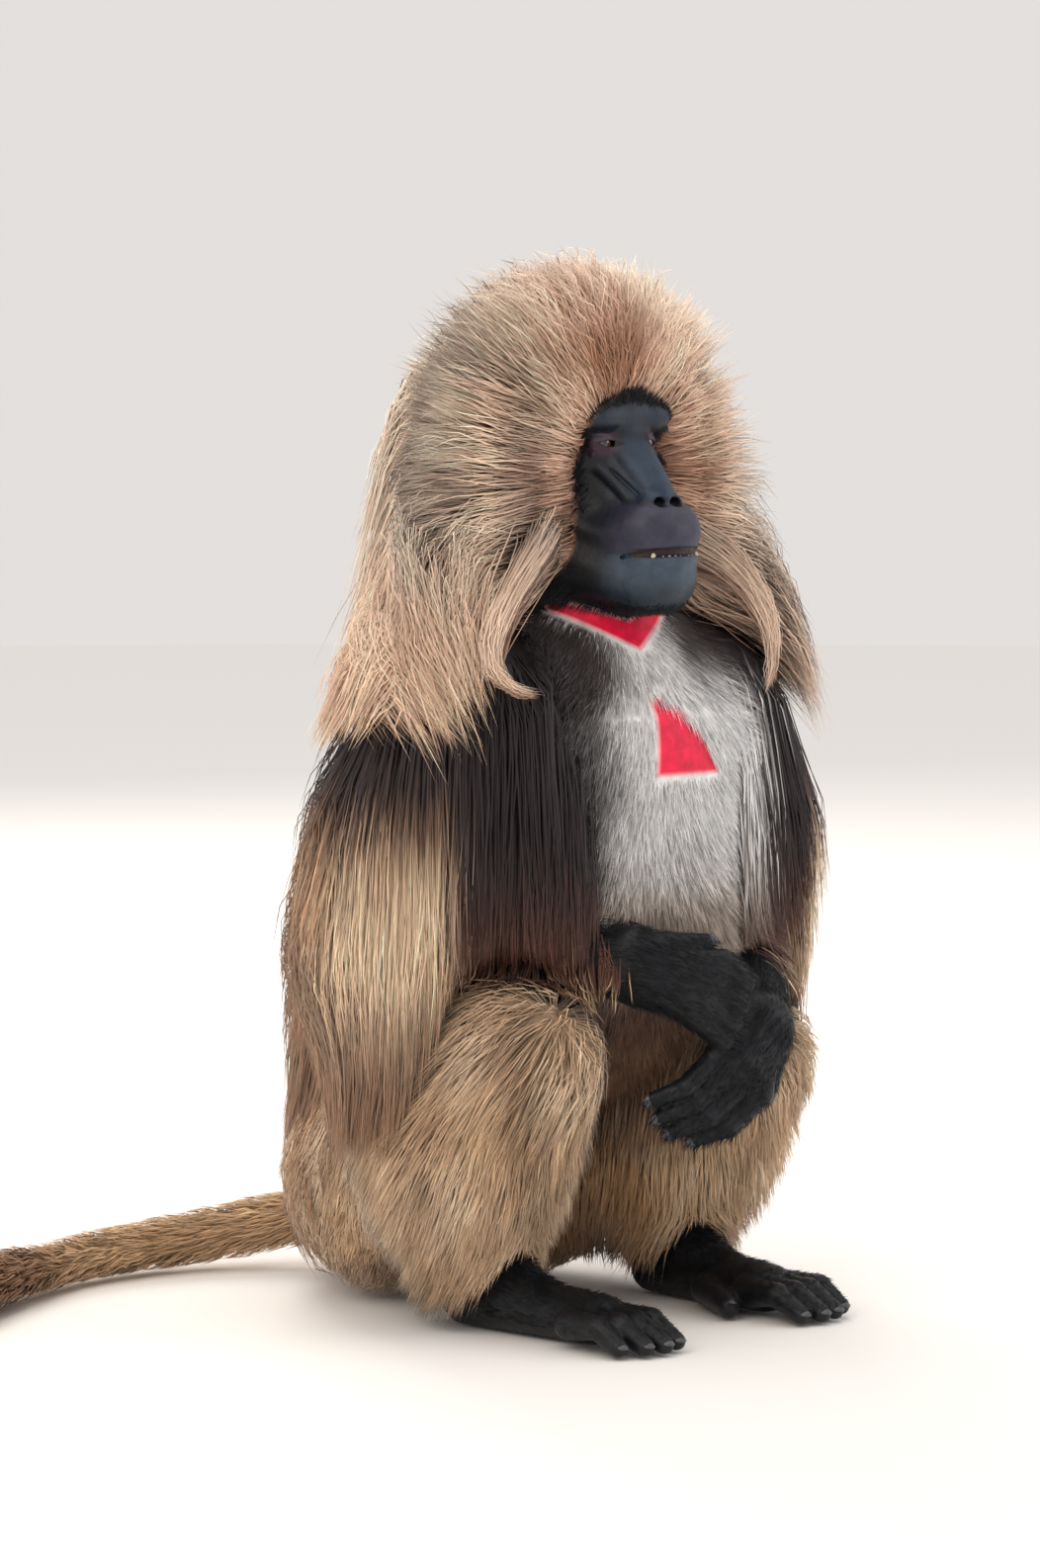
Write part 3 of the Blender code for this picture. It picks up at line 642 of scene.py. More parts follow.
def mane_edge(around):
    """How far from straight ahead the mane begins, all round the face."""
    turns = (0, 12, 25, 42, 54, 90, 125, 141, 155)
    return np.interp(around, turns, (47, 46.5, 47, 47.5, 48, 50.5, 56, 64, 108))


def bare_face(places):
    """Colour of the bare face: slate over all, black towards the cheeks partly as painted shade, lighter brow
    and bluish nose partly as painted highlight, mauve upper lip, plum round the eyes, painted shade in the
    nostrils and the mouth.
    """
    folded = np.stack([np.abs(places[:, 0]), places[:, 1], places[:, 2]], 1)
    x, y, z = folded.T
    eye_way = lengths((folded - EYE) * (1.0, 0.9, 1.25))
    half_width, upper, lower = LID_SLIT
    arc = 1 - ((x - EYE[0]) / (half_width + 0.001)) ** 2
    rim = np.maximum(z - EYE[2] - upper * arc, -lower * arc - z + EYE[2])
    nostril_way = lengths((folded - (0.008, -0.25, 0.609)) / (0.0062, 0.008, 0.0048))
    inner = MUZZLE[1] - (LIP_DEPTH - 0.0032) * np.sqrt(np.clip(1 - (x / LIP_HALF_WIDTH) ** 2, 0, 1))
    in_mouth = soft(np.abs(z - LIP_HEIGHT - 0.001), 0.0042, 0.003) * soft(y, inner - 0.0022, inner - 0.0006)
    chin = mixed(CHIN_TEAL, CHIN_SLATE, soft(z, 0.538, 0.558))
    brow = soft(z, 0.664, 0.668) * soft(z, 0.68, 0.674) * soft(x, 0.05, 0.036)
    nose = soft(x, 0.0225, 0.012) * soft(z, 0.608, 0.615) * soft(z, 0.662, 0.645)
    lid = soft(eye_way, 0.0135, 0.0122) * soft(z, EYE[2] + 0.0006, EYE[2] + 0.0022)
    return layered(
        # Black towards the cheeks and the sides of the face: partly the black skin and short hair there,
        # partly painted shade in the cheek hollows.
        mixed(BLACK_AND_PAINTED_SHADE, FACE_SLATE, soft(y, -0.203, -0.219) * soft(x, 0.048, 0.032)),
        # Lighter slate band along the brow ridge: partly painted highlight.
        (BROW_SLATE_AND_HIGHLIGHT, brow),
        # Bluish nose bridge: lighter and bluer than the slate, partly as a painted highlight of the sky.
        (NOSE_BLUE_AND_HIGHLIGHT, nose * soft(y, -0.205, -0.215)),
        (LIP_MAUVE, soft(z, 0.611, 0.605) * soft(z, 0.57, 0.574) * soft(y, -0.218, -0.24)),
        (chin, soft(z, 0.574, 0.57) * soft(y, -0.22, -0.24)),
        (POUCH_PLUM, soft(eye_way, 0.019, 0.013) * soft(z, 0.664, 0.658)),
        (LID_MAUVE, lid * soft(z, 0.662, 0.659)),
        (BLACK_AND_PAINTED_SHADE, soft(rim, 0.001, 0.0004) * soft(arc, -0.15, 0.1) * soft(y, -0.2, -0.205)),
        # Near-black inside the nostrils: painted shade.
        (BLACK_AND_PAINTED_SHADE * 0.6, soft(nostril_way, 1.02, 0.8) * soft(y, -0.256, -0.249)),
        # Dark red-brown inside the mouth's gap, made near-black as painted shade.
        (MOUTH_INSIDE_AND_SHADE, in_mouth * soft(x, 0.0335, 0.029)),
    )


def mane_colour(places):
    """Cream mane: chestnut along the middle of the crown, brown behind the whiskers and at the face."""
    ahead, around = face_angles(places)
    away = lengths(places - FACE_CENTRE)
    crest = soft(np.abs(places[..., 0] + 0.026), 0.052, 0.018) * soft(around, 48, 28)
    crest = crest * soft(away, 0.175, 0.13) * soft(away, 0.06, 0.085)
    at_face = soft(ahead, 104, 84) * soft(around, 70, 100) * soft(away, 0.115, 0.075)
    streak = soft(np.abs(ahead - 112), 16, 5) * soft(around, 50, 75) * soft(away, 0.175, 0.12)
    return layered(
        mixed(MANE_BROWN, CREAM, soft(away, 0.05, 0.085)),
        (CHESTNUT, crest * 0.85),
        (MANE_BROWN * 1.15, at_face * 0.5),
        (MANE_BROWN * 0.7, soft(ripple(places, 0.007, 12), 0.55, 0.85) * soft(away, 0.13, 0.07) * 0.6),
        (CHESTNUT * 0.75, streak * 0.9 * ripple(places, 0.09, 3)),
        (MANE_BROWN, soft(ripple(places, 0.045, 4), 0.5, 0.85) * 0.7),
        (PALE_TIP, soft(away, 0.105, 0.165) * soft(places[..., 2], 0.5, 0.6) * 0.6),
    )


def cape_colour(places):
    """Near-black cape, golden on each flank of the back, brown-buff at its ends, pale inside the left arm."""
    x, y, z = np.abs(places[..., 0]), places[..., 1], places[..., 2]
    inner = soft(places[..., 0] - 0.92 * y, 0.344, 0.322) * soft(z, 0.27, 0.31) * soft(z, 0.48, 0.44)
    pale = mixed(CHEST_WHITE, CHEST_DARK, soft(ripple(places, 0.006, 63), 0.5, 0.7) * 0.8)
    pale = mixed(pale, BELLY_GREY, soft(z, 0.365, 0.295))
    forward = -0.85 * y - (x - 0.15)
    behind = soft(forward, 0.165, 0.135)
    brown = mixed(CAPE_BUFF, CAPE_GREY, ripple(places * (1, 1, 0.3), 0.04, 8))
    brown = mixed(CAPE_RED, brown, soft(z, 0.42, 0.34))
    gold = soft(z, 0.372, 0.318) * soft(z, 0.205, 0.262) * behind * soft(forward, 0.000, 0.055)
    return layered(
        mixed(CAPE_BLACK, CAPE_RED, soft(z, 0.35, 0.28) * 0.8),
        (LEG_BUFF, soft(z, 0.262, 0.245)),
        (brown, behind * soft(z, 0.408, 0.34)),
        (GOLD, gold * (0.55 + 0.45 * ripple(places * (1, 1, 0.25), 0.03, 9))),
        (pale, inner * (places[..., 0] > 0) * 0.9),
    )


def lap_shade_share(places):
    """1 in the deep lap behind the hands, where the coat is darkened as painted shade, 0 away from it."""
    x, y, z = np.moveaxis(places, -1, 0)
    share = soft(np.abs(x + 0.01), 0.085, 0.05) * soft(z, 0.262, 0.235)
    return share * soft(z, 0.095, 0.135) * soft(y, -0.09, -0.12)


def body_colour(places):
    """Speckled white chest that darkens to the sides, grey-brown belly and buff loins, darkened as painted
    shade in the lap.
    """
    x, y, z = np.moveaxis(places, -1, 0)
    side_dark = soft(np.abs(x - 0.032), 0.064, 0.112) * 0.85
    side_dark = side_dark + soft(z, 0.44, 0.5) * soft(np.abs(x), 0.01, 0.045)
    seam = soft(np.abs(x + 0.007), 0.007, 0.002) * soft(z, 0.468, 0.474)
    pale = np.maximum(soft(chest_patch(places), -0.007, -0.001), seam) * soft(np.abs(x), 0.075, 0.05)
    return layered(
        mixed(CHEST_WHITE, CHEST_DARK, np.clip(side_dark, 0, 1)),
        (BELLY_GREY, soft(z, 0.365, 0.295)),
        (LEG_BUFF, soft(z, 0.255, 0.19)),
        # Painted shade in the lap behind the hands.
        (CAPE_RED * 0.6, lap_shade_share(places) * 0.85),
        (CHEST_WHITE, pale * 0.9),
        (CAPE_BUFF, soft(y, -0.11, -0.06)),
    )


def leg_colour(places):
    """Buff leg, paler in streaks, rusty on the inner side, dark towards the foot, darkened as painted shade
    in the lap.
    """
    x, z = places[..., 0], places[..., 2]
    return layered(
        mixed(LEG_BUFF, LEG_PALE, soft(ripple(places * (1, 1, 0.4), 0.035, 12), 0.45, 0.85) * 0.7),
        (LEG_BROWN, soft(ripple(places * (1, 1, 0.4), 0.06, 13), 0.55, 0.95) * 0.6),
        (RUST, soft(np.abs(x), 0.075, 0.035) * soft(z, 0.15, 0.09) * 0.45),
        (LEG_BROWN, soft(z, 0.05, 0.022) * 0.5),
        # Painted shade in the lap behind the hands.
        (CAPE_RED * 0.6, lap_shade_share(places) * 0.7),
        (CAPE_GREY, soft(z, 0.185, 0.225) * soft(np.abs(x), 0.1, 0.14) * 0.4),
    )


def black_colour(places):
    """Blue-black short hair of throat, forearms, hands and feet."""
    return mixed(HAIR_BLACK, FACE_SLATE * 0.8, ripple(places, 0.02, 15) * 0.45)


def tail_colour(places):
    """Tan tail with a browner tuft."""
    return mixed(TAIL_BUFF, TAIL_TUFT, soft(places[..., 0], -0.23, -0.3))


def hide_colour(places, groups):
    """Colour of the hide: bare on face, throat and chest patch, else as the coat that grows on it."""
    colour = black_colour(places)
    rules = {"trunk": body_colour, "arm": cape_colour, "tail": tail_colour}
    rules.update(thigh=leg_colour, shank=leg_colour)
    for i, group in enumerate(group_names):
        if group.split("_")[0] in rules:
            here = groups == i
            colour[here] = rules[group.split("_")[0]](places[here]) * 0.8
    here = groups == group_names.index("head")
    ahead, around = face_angles(places[here])
    in_mane = soft(ahead - mane_edge(around), -3, 3)
    colour[here] = mixed(bare_face(places[here]) * (0.62, 0.68, 0.76), MANE_BROWN * 0.8, in_mane)
    patch = chest_patch(places)
    near = places[:, 2] < 0.55
    colour[near] = mixed(colour[near], PATCH_PINK, soft(patch[near], -0.003, -0.0015))
    return mixed(colour, PATCH_RED, soft(patch, -0.001, 0.001) * near)


def paint(thing, colours):
    """Stores the linear colours of the points as the attribute Markings."""
    layer = thing.data.color_attributes.new("Markings", "FLOAT_COLOR", "POINT")
    full = np.concatenate([colours, np.ones((len(colours), 1))], 1).astype(np.float32)
    layer.data.foreach_set("color", full.ravel())


skin_colours = hide_colour(skin_places, skin_groups)
body_part = ~(in_box(skin_places, *FACE_BOX) | in_box(skin_places, *PATCH_BOX))
evened = skin_colours
for _ in range(2):
    total, count = neighbour_sum(evened, skin_faces)
    evened = (evened + total) / (count + 1)
skin_colours[body_part] = evened[body_part]
skin = new_mesh("skin", skin_places, skin_faces)
paint(skin, skin_colours)

# Thick, leathery hide: fine crossed grain, soft folds and small pores that vary its satin shine, so that
# it takes soft cold glints from the sky.
GRAIN_SIZE, PORE_SIZE, FOLD_SIZE, MOTTLE_SIZE = 0.0011, 0.0007, 0.006, 0.009
NOISE_MIDDLE, SCALE = {"From Min": 0.3, "From Max": 0.7}, {"operation": "SCALE"}
skin_material, _ = new_material("leathery hide", 0.45, 0.35)


def wire(material, name, source):
    """Links the source to the named input of the material's shader."""
    material.node_tree.links.new(source, material.node_tree.nodes["Principled BSDF"].inputs[name])


skin_place = {"Vector": add_node(skin_material, "TexCoord", out="Object")}
skin_marks = add_node(skin_material, "Attribute", {"attribute_name": "Markings"}, out="Color")
patches = add_node(skin_material, "TexNoise", {"Scale": 1 / MOTTLE_SIZE, "Detail": 5.0}, skin_place)
mottle_span = {**NOISE_MIDDLE, "To Min": 0.78, "To Max": 1.22}
mottle = add_node(skin_material, "MapRange", mottle_span, {"Value": patches})
mottled = add_node(skin_material, "VectorMath", SCALE, {"Vector": skin_marks, "Scale": mottle})
grain_edges = {"feature": "DISTANCE_TO_EDGE", "Scale": 1 / GRAIN_SIZE}
grain = add_node(skin_material, "TexVoronoi", grain_edges, skin_place, "Distance")
pores = add_node(skin_material, "TexNoise", {"Scale": 1 / PORE_SIZE, "Detail": 3.0}, skin_place)
shine_span = {**NOISE_MIDDLE, "To Min": 0.36, "To Max": 0.56}
shine = add_node(skin_material, "MapRange", shine_span, {"Value": pores})
folds = add_node(skin_material, "TexNoise", {"Scale": 1 / FOLD_SIZE, "Detail": 4.0}, skin_place)
fold_bump = add_node(skin_material, "Bump", {"Strength": 0.35, "Distance": 0.0012}, {"Height": folds})
grain_links = {"Height": grain, "Normal": fold_bump}
grain_bump = add_node(skin_material, "Bump", {"Strength": 0.3, "Distance": 0.0003}, grain_links)
wire(skin_material, "Base Color", mottled)
wire(skin_material, "Roughness", shine)
wire(skin_material, "Normal", grain_bump)
skin.data.materials.append(skin_material)
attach(skin, "root")
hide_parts("head", "neck", "trunk")
for piece in ("upper_arm", "forearm", "hand", "thigh", "shank", "foot"):
    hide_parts(piece + "_left", piece + "_right")
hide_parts("tail_base", "tail_middle", "tail_tuft")

# Eyes: wet, red-brown, deep under the brow. Each is a ball with a small clear bulge over the iris;
# the dark rim, iris and pupil are rings round the way it looks.
GAZE = unit(np.array((-0.22, -1.0, -0.04)))
PUPIL_ANGLE, IRIS_ANGLE, BULGE, IRIS_FIBRE = 12.0, 33.0, 0.0005, 0.0009
IRIS_INNER, IRIS_OUTER, EYE_WHITE = map(linear, ("#7A3E26", "#451C14", "#3A2A26"))


def round_grid(rows, columns):
    """Directions over a whole ball on a grid, and the triangles between them, poles closed."""
    lift = np.linspace(-math.pi / 2, math.pi / 2, rows)[1:-1]
    turn = np.linspace(0, 2 * math.pi, columns, endpoint=False)
    lift, turn = np.meshgrid(lift, turn, indexing="ij")
    body = np.stack([np.cos(lift) * np.cos(turn), np.cos(lift) * np.sin(turn), np.sin(lift)], -1)
    ways = np.concatenate([body.reshape(-1, 3), [(0, 0, -1), (0, 0, 1)]])
    row, column = np.meshgrid(np.arange(rows - 3), np.arange(columns), indexing="ij")
    after, low, high = (column + 1) % columns, row * columns, (row + 1) * columns
    first = np.stack([low + column, low + after, high + after], -1).reshape(-1, 3)
    second = np.stack([low + column, high + after, high + column], -1).reshape(-1, 3)
    around, top = np.arange(columns), (rows - 3) * columns
    next_one = (around + 1) % columns
    bottom_cap = np.stack([around * 0 + len(ways) - 2, next_one, around], -1)
    top_cap = np.stack([around * 0 + len(ways) - 1, top + around, top + next_one], -1)
    return ways, np.concatenate([first, second, bottom_cap, top_cap])


def ring(angle):
    """The cosine of the angle in degrees."""
    return math.cos(math.radians(angle))


for side in SIDES:
    ways, eye_faces = round_grid(40, 48)
    eye_centre = on_side(side, EYE)
    eye_reach = EYE_RADIUS + BULGE * soft(ways @ GAZE, ring(IRIS_ANGLE + 6), 0.97)
    eye = new_mesh("eye_" + SIDE_NAME[side] + "_ball", eye_centre + ways * eye_reach[:, None], eye_faces)
    eye_material, eye_shader = new_material("wet eye " + SIDE_NAME[side], 0.06, 0.6)
    eye_shader.inputs["Coat Weight"].default_value = 1.0
    eye_shader.inputs["Coat Roughness"].default_value = 0.02
    place = add_node(eye_material, "TexCoord", out="Object")
    offset = add_node(eye_material, "VectorMath", {"operation": "SUBTRACT"}, {"Vector": place})
    offset.node.inputs[1].default_value = eye_centre
    outward = add_node(eye_material, "VectorMath", {"operation": "NORMALIZE"}, {"Vector": offset})
    facing = add_node(eye_material, "VectorMath", {"operation": "DOT_PRODUCT"}, {"Vector": outward}, "Value")
    facing.node.inputs[1].default_value = GAZE
    angles = (IRIS_ANGLE + 4, IRIS_ANGLE, IRIS_ANGLE - 5, PUPIL_ANGLE + 4, PUPIL_ANGLE)
    tints = (EYE_WHITE, IRIS_OUTER * 0.5, IRIS_OUTER, IRIS_INNER, BLACK_AND_PAINTED_SHADE * 0.4)
    rings = add_node(eye_material, "ValToRGB", {}, {"Fac": facing})
    stops = rings.node.color_ramp.elements
    while len(stops) < len(angles):
        stops.new(0.5)
    for i in reversed(range(len(angles))):
        stops[i].position = ring(angles[i])
        stops[i].color = (*tints[i], 1)
    fibres = add_node(eye_material, "TexNoise", {"Scale": 1 / IRIS_FIBRE, "Detail": 4.0}, {"Vector": place})
    streaked = add_node(eye_material, "VectorMath", SCALE, {"Vector": rings, "Scale": fibres})
    lighter = add_node(eye_material, "VectorMath", {"operation": "SCALE", "Scale": 2.0}, {"Vector": streaked})
    wire(eye_material, "Base Color", lighter)
    eye.data.materials.append(eye_material)
    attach(eye, "root")
    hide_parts("eye_" + SIDE_NAME[side])

# Teeth: the lower canines and incisors that show in the slightly open mouth, dull ivory and wet.
# Each one is a blunt peg set in the lower gum behind the lip.


def tinted(material, size, detail, dark, light):
    """The shader's colour in patches of that size from dark to light."""
    place = add_node(material, "TexCoord", out="Object")
    patches = add_node(material, "TexNoise", {"Scale": 1 / size, "Detail": detail}, {"Vector": place})
    tint = add_node(material, "ValToRGB", {}, {"Fac": patches})
    for stop, colour in zip(tint.node.color_ramp.elements, (dark, light)):
        stop.color = (*linear(colour), 1)
    wire(material, "Base Color", tint)


TOOTH_SPOTS = ((-44, 0.0022, 0.0064), (-30, 0.0019, 0.0022), (-21, 0.002, 0.0027), (-12, 0.002, 0.0027))
GUM_WIDTH, GUM_DEPTH = LIP_HALF_WIDTH - 0.0026, LIP_DEPTH - 0.0032
tooth_ways, tooth_faces = round_grid(12, 12)
tooth_places, tooth_corners = [], []
OTHER_SPOTS = tuple((-degrees, radius, height) for degrees, radius, height in TOOTH_SPOTS)
for degrees, radius, height in TOOTH_SPOTS + ((-4, 0.002, 0.0026),) + OTHER_SPOTS:
    turn = math.radians(degrees)
    gum_y = MUZZLE[1] - GUM_DEPTH * math.cos(turn) + 0.0006
    tooth_root = np.array((GUM_WIDTH * math.sin(turn), gum_y, LIP_HEIGHT - 0.002))
    tooth_corners.append(tooth_faces + len(tooth_ways) * len(tooth_places))
    tooth_places.append(tooth_root + tooth_ways * (radius, radius * 0.8, height * 0.5))
teeth = new_mesh("teeth", np.concatenate(tooth_places), np.concatenate(tooth_corners))
tooth_material, _ = new_material("ivory enamel", 0.22, 0.5)
tinted(tooth_material, 0.002, 2.0, "#A0947C", "#DAD2C0")
teeth.data.materials.append(tooth_material)
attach(teeth, "root")

# Nails: flat horny plates on every finger and toe, grey-black in darker and paler patches.
NAIL_LENGTH, NAIL_WIDTH, NAIL_THICKNESS, NAIL_BEND = 0.0062, 0.0054, 0.0016, 0.0015
nail_ways, nail_faces = round_grid(12, 16)
nail_places, nail_corners = [], []
for digits, outside in ((fingertips, (0, -1, 0.35)), (toe_tips, (0, -0.35, 1))):
    for joint, tip, radius in digits:
        along = unit(np.array(tip) - joint)
        up = np.array(outside, float)
        up = unit(up - along * (up @ along))
        aside = np.cross(along, up)
        length, breadth, thick = nail_ways[:, :1], nail_ways[:, 1:2], nail_ways[:, 2:]
        plate = length * NAIL_LENGTH * along + breadth * NAIL_WIDTH * aside
        plate = plate + (thick * NAIL_THICKNESS - breadth**2 * NAIL_BEND) * up
        nail_corners.append(nail_faces + len(nail_ways) * len(nail_places))
        nail_places.append(np.array(tip) + up * radius * 0.62 + along * radius * 0.25 + plate)
nails = new_mesh("nails", np.concatenate(nail_places), np.concatenate(nail_corners))
nail_material, _ = new_material("dark horn", 0.3, 0.5)
tinted(nail_material, 0.0012, 3.0, "#23262C", "#5A5B60")
nails.data.materials.append(nail_material)
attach(nails, "root")

# Coat. Each hair tuft is a thin closed taper that grows from the hide, turns the way the coat lies
# there, fills the coat's outer outline and draws together with its neighbours in a lock.

# The coat's outer outline, nowhere closer to the hide than the short coat's depth
SHORT_COAT, COAT_BLEND = 0.006, 0.02
CROWN_MIDDLE, CROWN_FULLNESS = np.array((0.0, -0.163, 0.69)), 2.3
coat_forms = [("coat", COAT_BLEND, *ball(CROWN_MIDDLE, (0.122, 0.074, 0.072)))]
coat_forms.append(("coat", COAT_BLEND, *ball((0, -0.104, 0.664), (0.114, 0.078, 0.08))))
for i in range(11):
    turn = math.radians(-100 + 20 * i)
    lean = np.array((math.sin(turn), 0.05 + 0.2 * (i % 2), math.cos(turn)))
    square = (abs(lean[0]) ** CROWN_FULLNESS + abs(lean[2]) ** CROWN_FULLNESS) ** (-1 / CROWN_FULLNESS)
    tip = CROWN_MIDDLE + (lean[0] * 0.142 * square, lean[1] * 0.05, lean[2] * 0.074 * square)
    coat_forms.append(("coat", COAT_BLEND, *cone(CROWN_MIDDLE + lean * 0.045, tip, 0.048, 0.014)))


def coat_chain(stations, wide=1.0, across=(1, 0, 0), blend=COAT_BLEND):
    """Adds rounded cones through the stations (place, radius) to the coat's outline."""
    for (start, start_radius), (end, end_radius) in zip(stations, stations[1:]):
        coat_forms.append(("coat", blend, *cone(start, end, start_radius, end_radius, wide, across)))


LOCK_ROUTE = (
    ((0.106, -0.178, 0.698), 0.056), ((0.119, -0.188, 0.642), 0.06), ((0.122, -0.19, 0.59), 0.057),
    ((0.128, -0.192, 0.545), 0.045), ((0.136, -0.215, 0.503), 0.03), ((0.134, -0.245, 0.468), 0.014),
)
FACE_RUFF = (
    ((0.056, -0.172, 0.69), 0.037), ((0.062, -0.176, 0.64), 0.041),
    ((0.064, -0.176, 0.6), 0.04), ((0.075, -0.172, 0.57), 0.036),
)
ARM_FALL = (
    ((0.102, -0.215, 0.47), 0.048), ((0.1, -0.234, 0.4), 0.05),
    ((0.104, -0.238, 0.335), 0.044), ((0.106, -0.232, 0.3), 0.036),
)
coat_chain((((0, -0.102, 0.64), 0.086), ((0, -0.084, 0.545), 0.088), ((0, -0.068, 0.475), 0.098)), 1.36)
coat_chain((((0, -0.07, 0.45), 0.11), ((0, -0.048, 0.35), 0.118), ((0, -0.022, 0.245), 0.114)), 1.42)
coat_chain(((SEAT, 0.1), (LOINS, 0.125)), 1.15)
coat_chain(((LOINS, 0.125), (BELLY, 0.147), (CHEST, 0.131)), 1.06)
coat_chain(((CHEST, 0.131), (WITHERS, 0.098)), 1.2)
coat_chain(((LEFT_BELLY, 0.141), (LEFT_CHEST, 0.125)), 1.06)
coat_chain((((0, -0.12, 0.48), 0.084), ((0, -0.15, 0.61), 0.061)))
for side in SIDES:
    for route in (LOCK_ROUTE, FACE_RUFF, ARM_FALL)[: 3 if side < 0 else 2]:
        coat_chain([(on_side(side, place), radius) for place, radius in route])
    shoulder, elbow = on_side(side, (0.122, -0.165, 0.462)), np.array(ELBOW[side])
    wrist, arm_end = np.array(WRIST[side]), elbow + (0, 0, -0.07)
    arm_wide, arm_out = (1.35, (0, 0, 0)) if side < 0 else (1.08, (0.009, 0, 0))
    arm_stations = [(shoulder + arm_out, 0.074), (between(shoulder, elbow, 0.5) + arm_out, 0.081)]
    coat_chain(arm_stations + [(elbow, 0.074), (arm_end, 0.04)], arm_wide, (0, 1, 0))
    fore_start, fore_middle = between(elbow, wrist, 0.1), between(elbow, wrist, 0.45)
    coat_chain(((fore_start, 0.037), (fore_middle, 0.036), (wrist, 0.024)), blend=0.01)
    hip, thigh_middle, knee, calf, heel = leg_joints(side)
    hem = np.array(ANKLE[side]) + (side * 0.006, 0.004, -0.018)
    coat_chain(((hip, 0.091), (thigh_middle, 0.09), (knee + (0, 0, 0.006), 0.077)))
    coat_chain(((between(knee, calf, 0.35), 0.06), (calf, 0.087), (heel, 0.066), (hem, 0.058)), 1.12)
coat_chain([(tail_route[i], 0.0262 - 0.0072 * tail_share[i]) for i in range(0, 17, 2)], blend=0.01)
tuft = [(tail_route[i], 0.021 + 0.009 * math.sin(math.pi * (i - 16) / 8)) for i in range(16, 25, 2)]
coat_chain(tuft, blend=0.01)
coat_grid = np.minimum(filled_grid(coat_forms), skin_grid - SHORT_COAT)


def grid_value(grid, places):
    """The grid's value at each place, straight-line between its eight neighbours."""
    spot = np.clip((places - GRID_LOW) / GRID_STEP, 0, np.array(grid.shape) - 1.001)
    base = spot.astype(int)
    share = spot - base
    total = 0
    for shift in np.ndindex(2, 2, 2):
        weight = np.prod(np.where(shift, share, 1 - share), -1)
        corner = base + shift
        total = total + weight * grid[corner[..., 0], corner[..., 1], corner[..., 2]]
    return total


def grid_slope(grid, places):
    """The way in which the grid's value grows fastest at each place."""
    rise = [grid_value(grid, places + way) - grid_value(grid, places - way) for way in np.eye(3) * GRID_STEP]
    return unit(np.stack(rise, -1))


triangle_middle = skin_places[skin_faces].mean(1)
triangle_group = skin_groups[skin_faces[:, 0]]
triangle_sides = skin_places[skin_faces[:, 1:]] - skin_places[skin_faces[:, :1]]
triangle_area = lengths(np.cross(triangle_sides[:, 0], triangle_sides[:, 1]))
middle_x, middle_y, middle_z = triangle_middle.T
middle_ahead, middle_around = face_angles(triangle_middle)
middle_in_mane = middle_ahead - mane_edge(middle_around)
outside_patch = chest_patch(triangle_middle) < -0.002
SHORTEST_DEPTH, DEEPEST, FARTHEST_OUT = 0.002, 0.09, 0.08
COAT_FOOT, COAT_TOP = 0.0025, 0.8


def in_groups(*names):
    """1 for the triangles of the hide that belong to these groups, else 0."""
    return np.isin(triangle_group, [group_names.index(name) for name in names]) * 1.0


def kept_in_coat(places, least, proud, limit):
    """The places pushed out of the hide to at least that share of the coat's depth, and back into it."""
    hide, coat = grid_value(skin_grid, places), grid_value(coat_grid, places)
    depth = np.clip(hide - coat, SHORTEST_DEPTH, DEEPEST)
    lack = np.maximum(np.minimum(least * depth, limit) - hide, 0)
    places = places + grid_slope(skin_grid, places) * lack[:, None]
    over = np.clip(grid_value(coat_grid, places) - proud, 0, FARTHEST_OUT)
    places = places - grid_slope(coat_grid, places) * over[:, None]
    places[:, 2] = np.clip(places[:, 2], COAT_FOOT, COAT_TOP)
    return places


def grown(random, roots, normals, comb, length, steps, lift, turn, least, proud, stray):
    """Paths of hairs: each step turns part of the way to the comb's direction and stays in the coat."""
    way = unit(comb(roots, roots) * (1 - lift) + normals * lift)
    path = [roots - normals * 0.001]
    for step in range(steps):
        place, share = path[-1], (step + 1) / steps
        way = unit(way * (1 - turn) + comb(place, roots) * turn + random.normal(size=roots.shape) * stray)
        place = place + way * (length / steps)[:, None]
        path.append(kept_in_coat(place, least * min(1.0, 1.35 * share) ** 0.7, proud, 0.7 * length * share))
    return np.stack(path, 1)


def gathered(random, paths, size, pull, spread):
    """The paths drawn together in locks: roots in one uneven cell of that size share a lock."""
    steps = paths.shape[1] - 1
    warped = paths[:, 0] @ np.linalg.qr(random.normal(size=(3, 3)))[0] / size
    warped = warped + 0.35 * np.sin(warped[:, [1, 2, 0]] * 2.3) + random.normal(size=warped.shape) * 0.12
    lock = np.unique(np.floor(warped).astype(int), axis=0, return_inverse=True)[1].ravel()
    count = np.bincount(lock)
    mean = np.stack([np.bincount(lock, column) / count for column in paths.reshape(len(paths), -1).T], 1)
    share = (np.linspace(0, 1, steps + 1) ** 1.2)[None, :, None]
    strays = (random.normal(size=(len(count), 1, 3)) * spread)[lock] * share**2
    goal = mean.reshape(len(count), steps + 1, 3)[lock] + strays
    own_pull = (pull * random.uniform(0.4, 1.1, len(paths)))[:, None, None]
    return paths + (goal - paths) * np.clip(own_pull * share, 0, 0.97), lock


BAKE_PATCH, STREAK_LENGTH = 0.003, 0.03
NORMAL_SHARE = 0.6
ACROSS, UPWARD = np.array((-0.5, 0.5, 0.0)), np.array((-0.15, -0.15, 0.45))


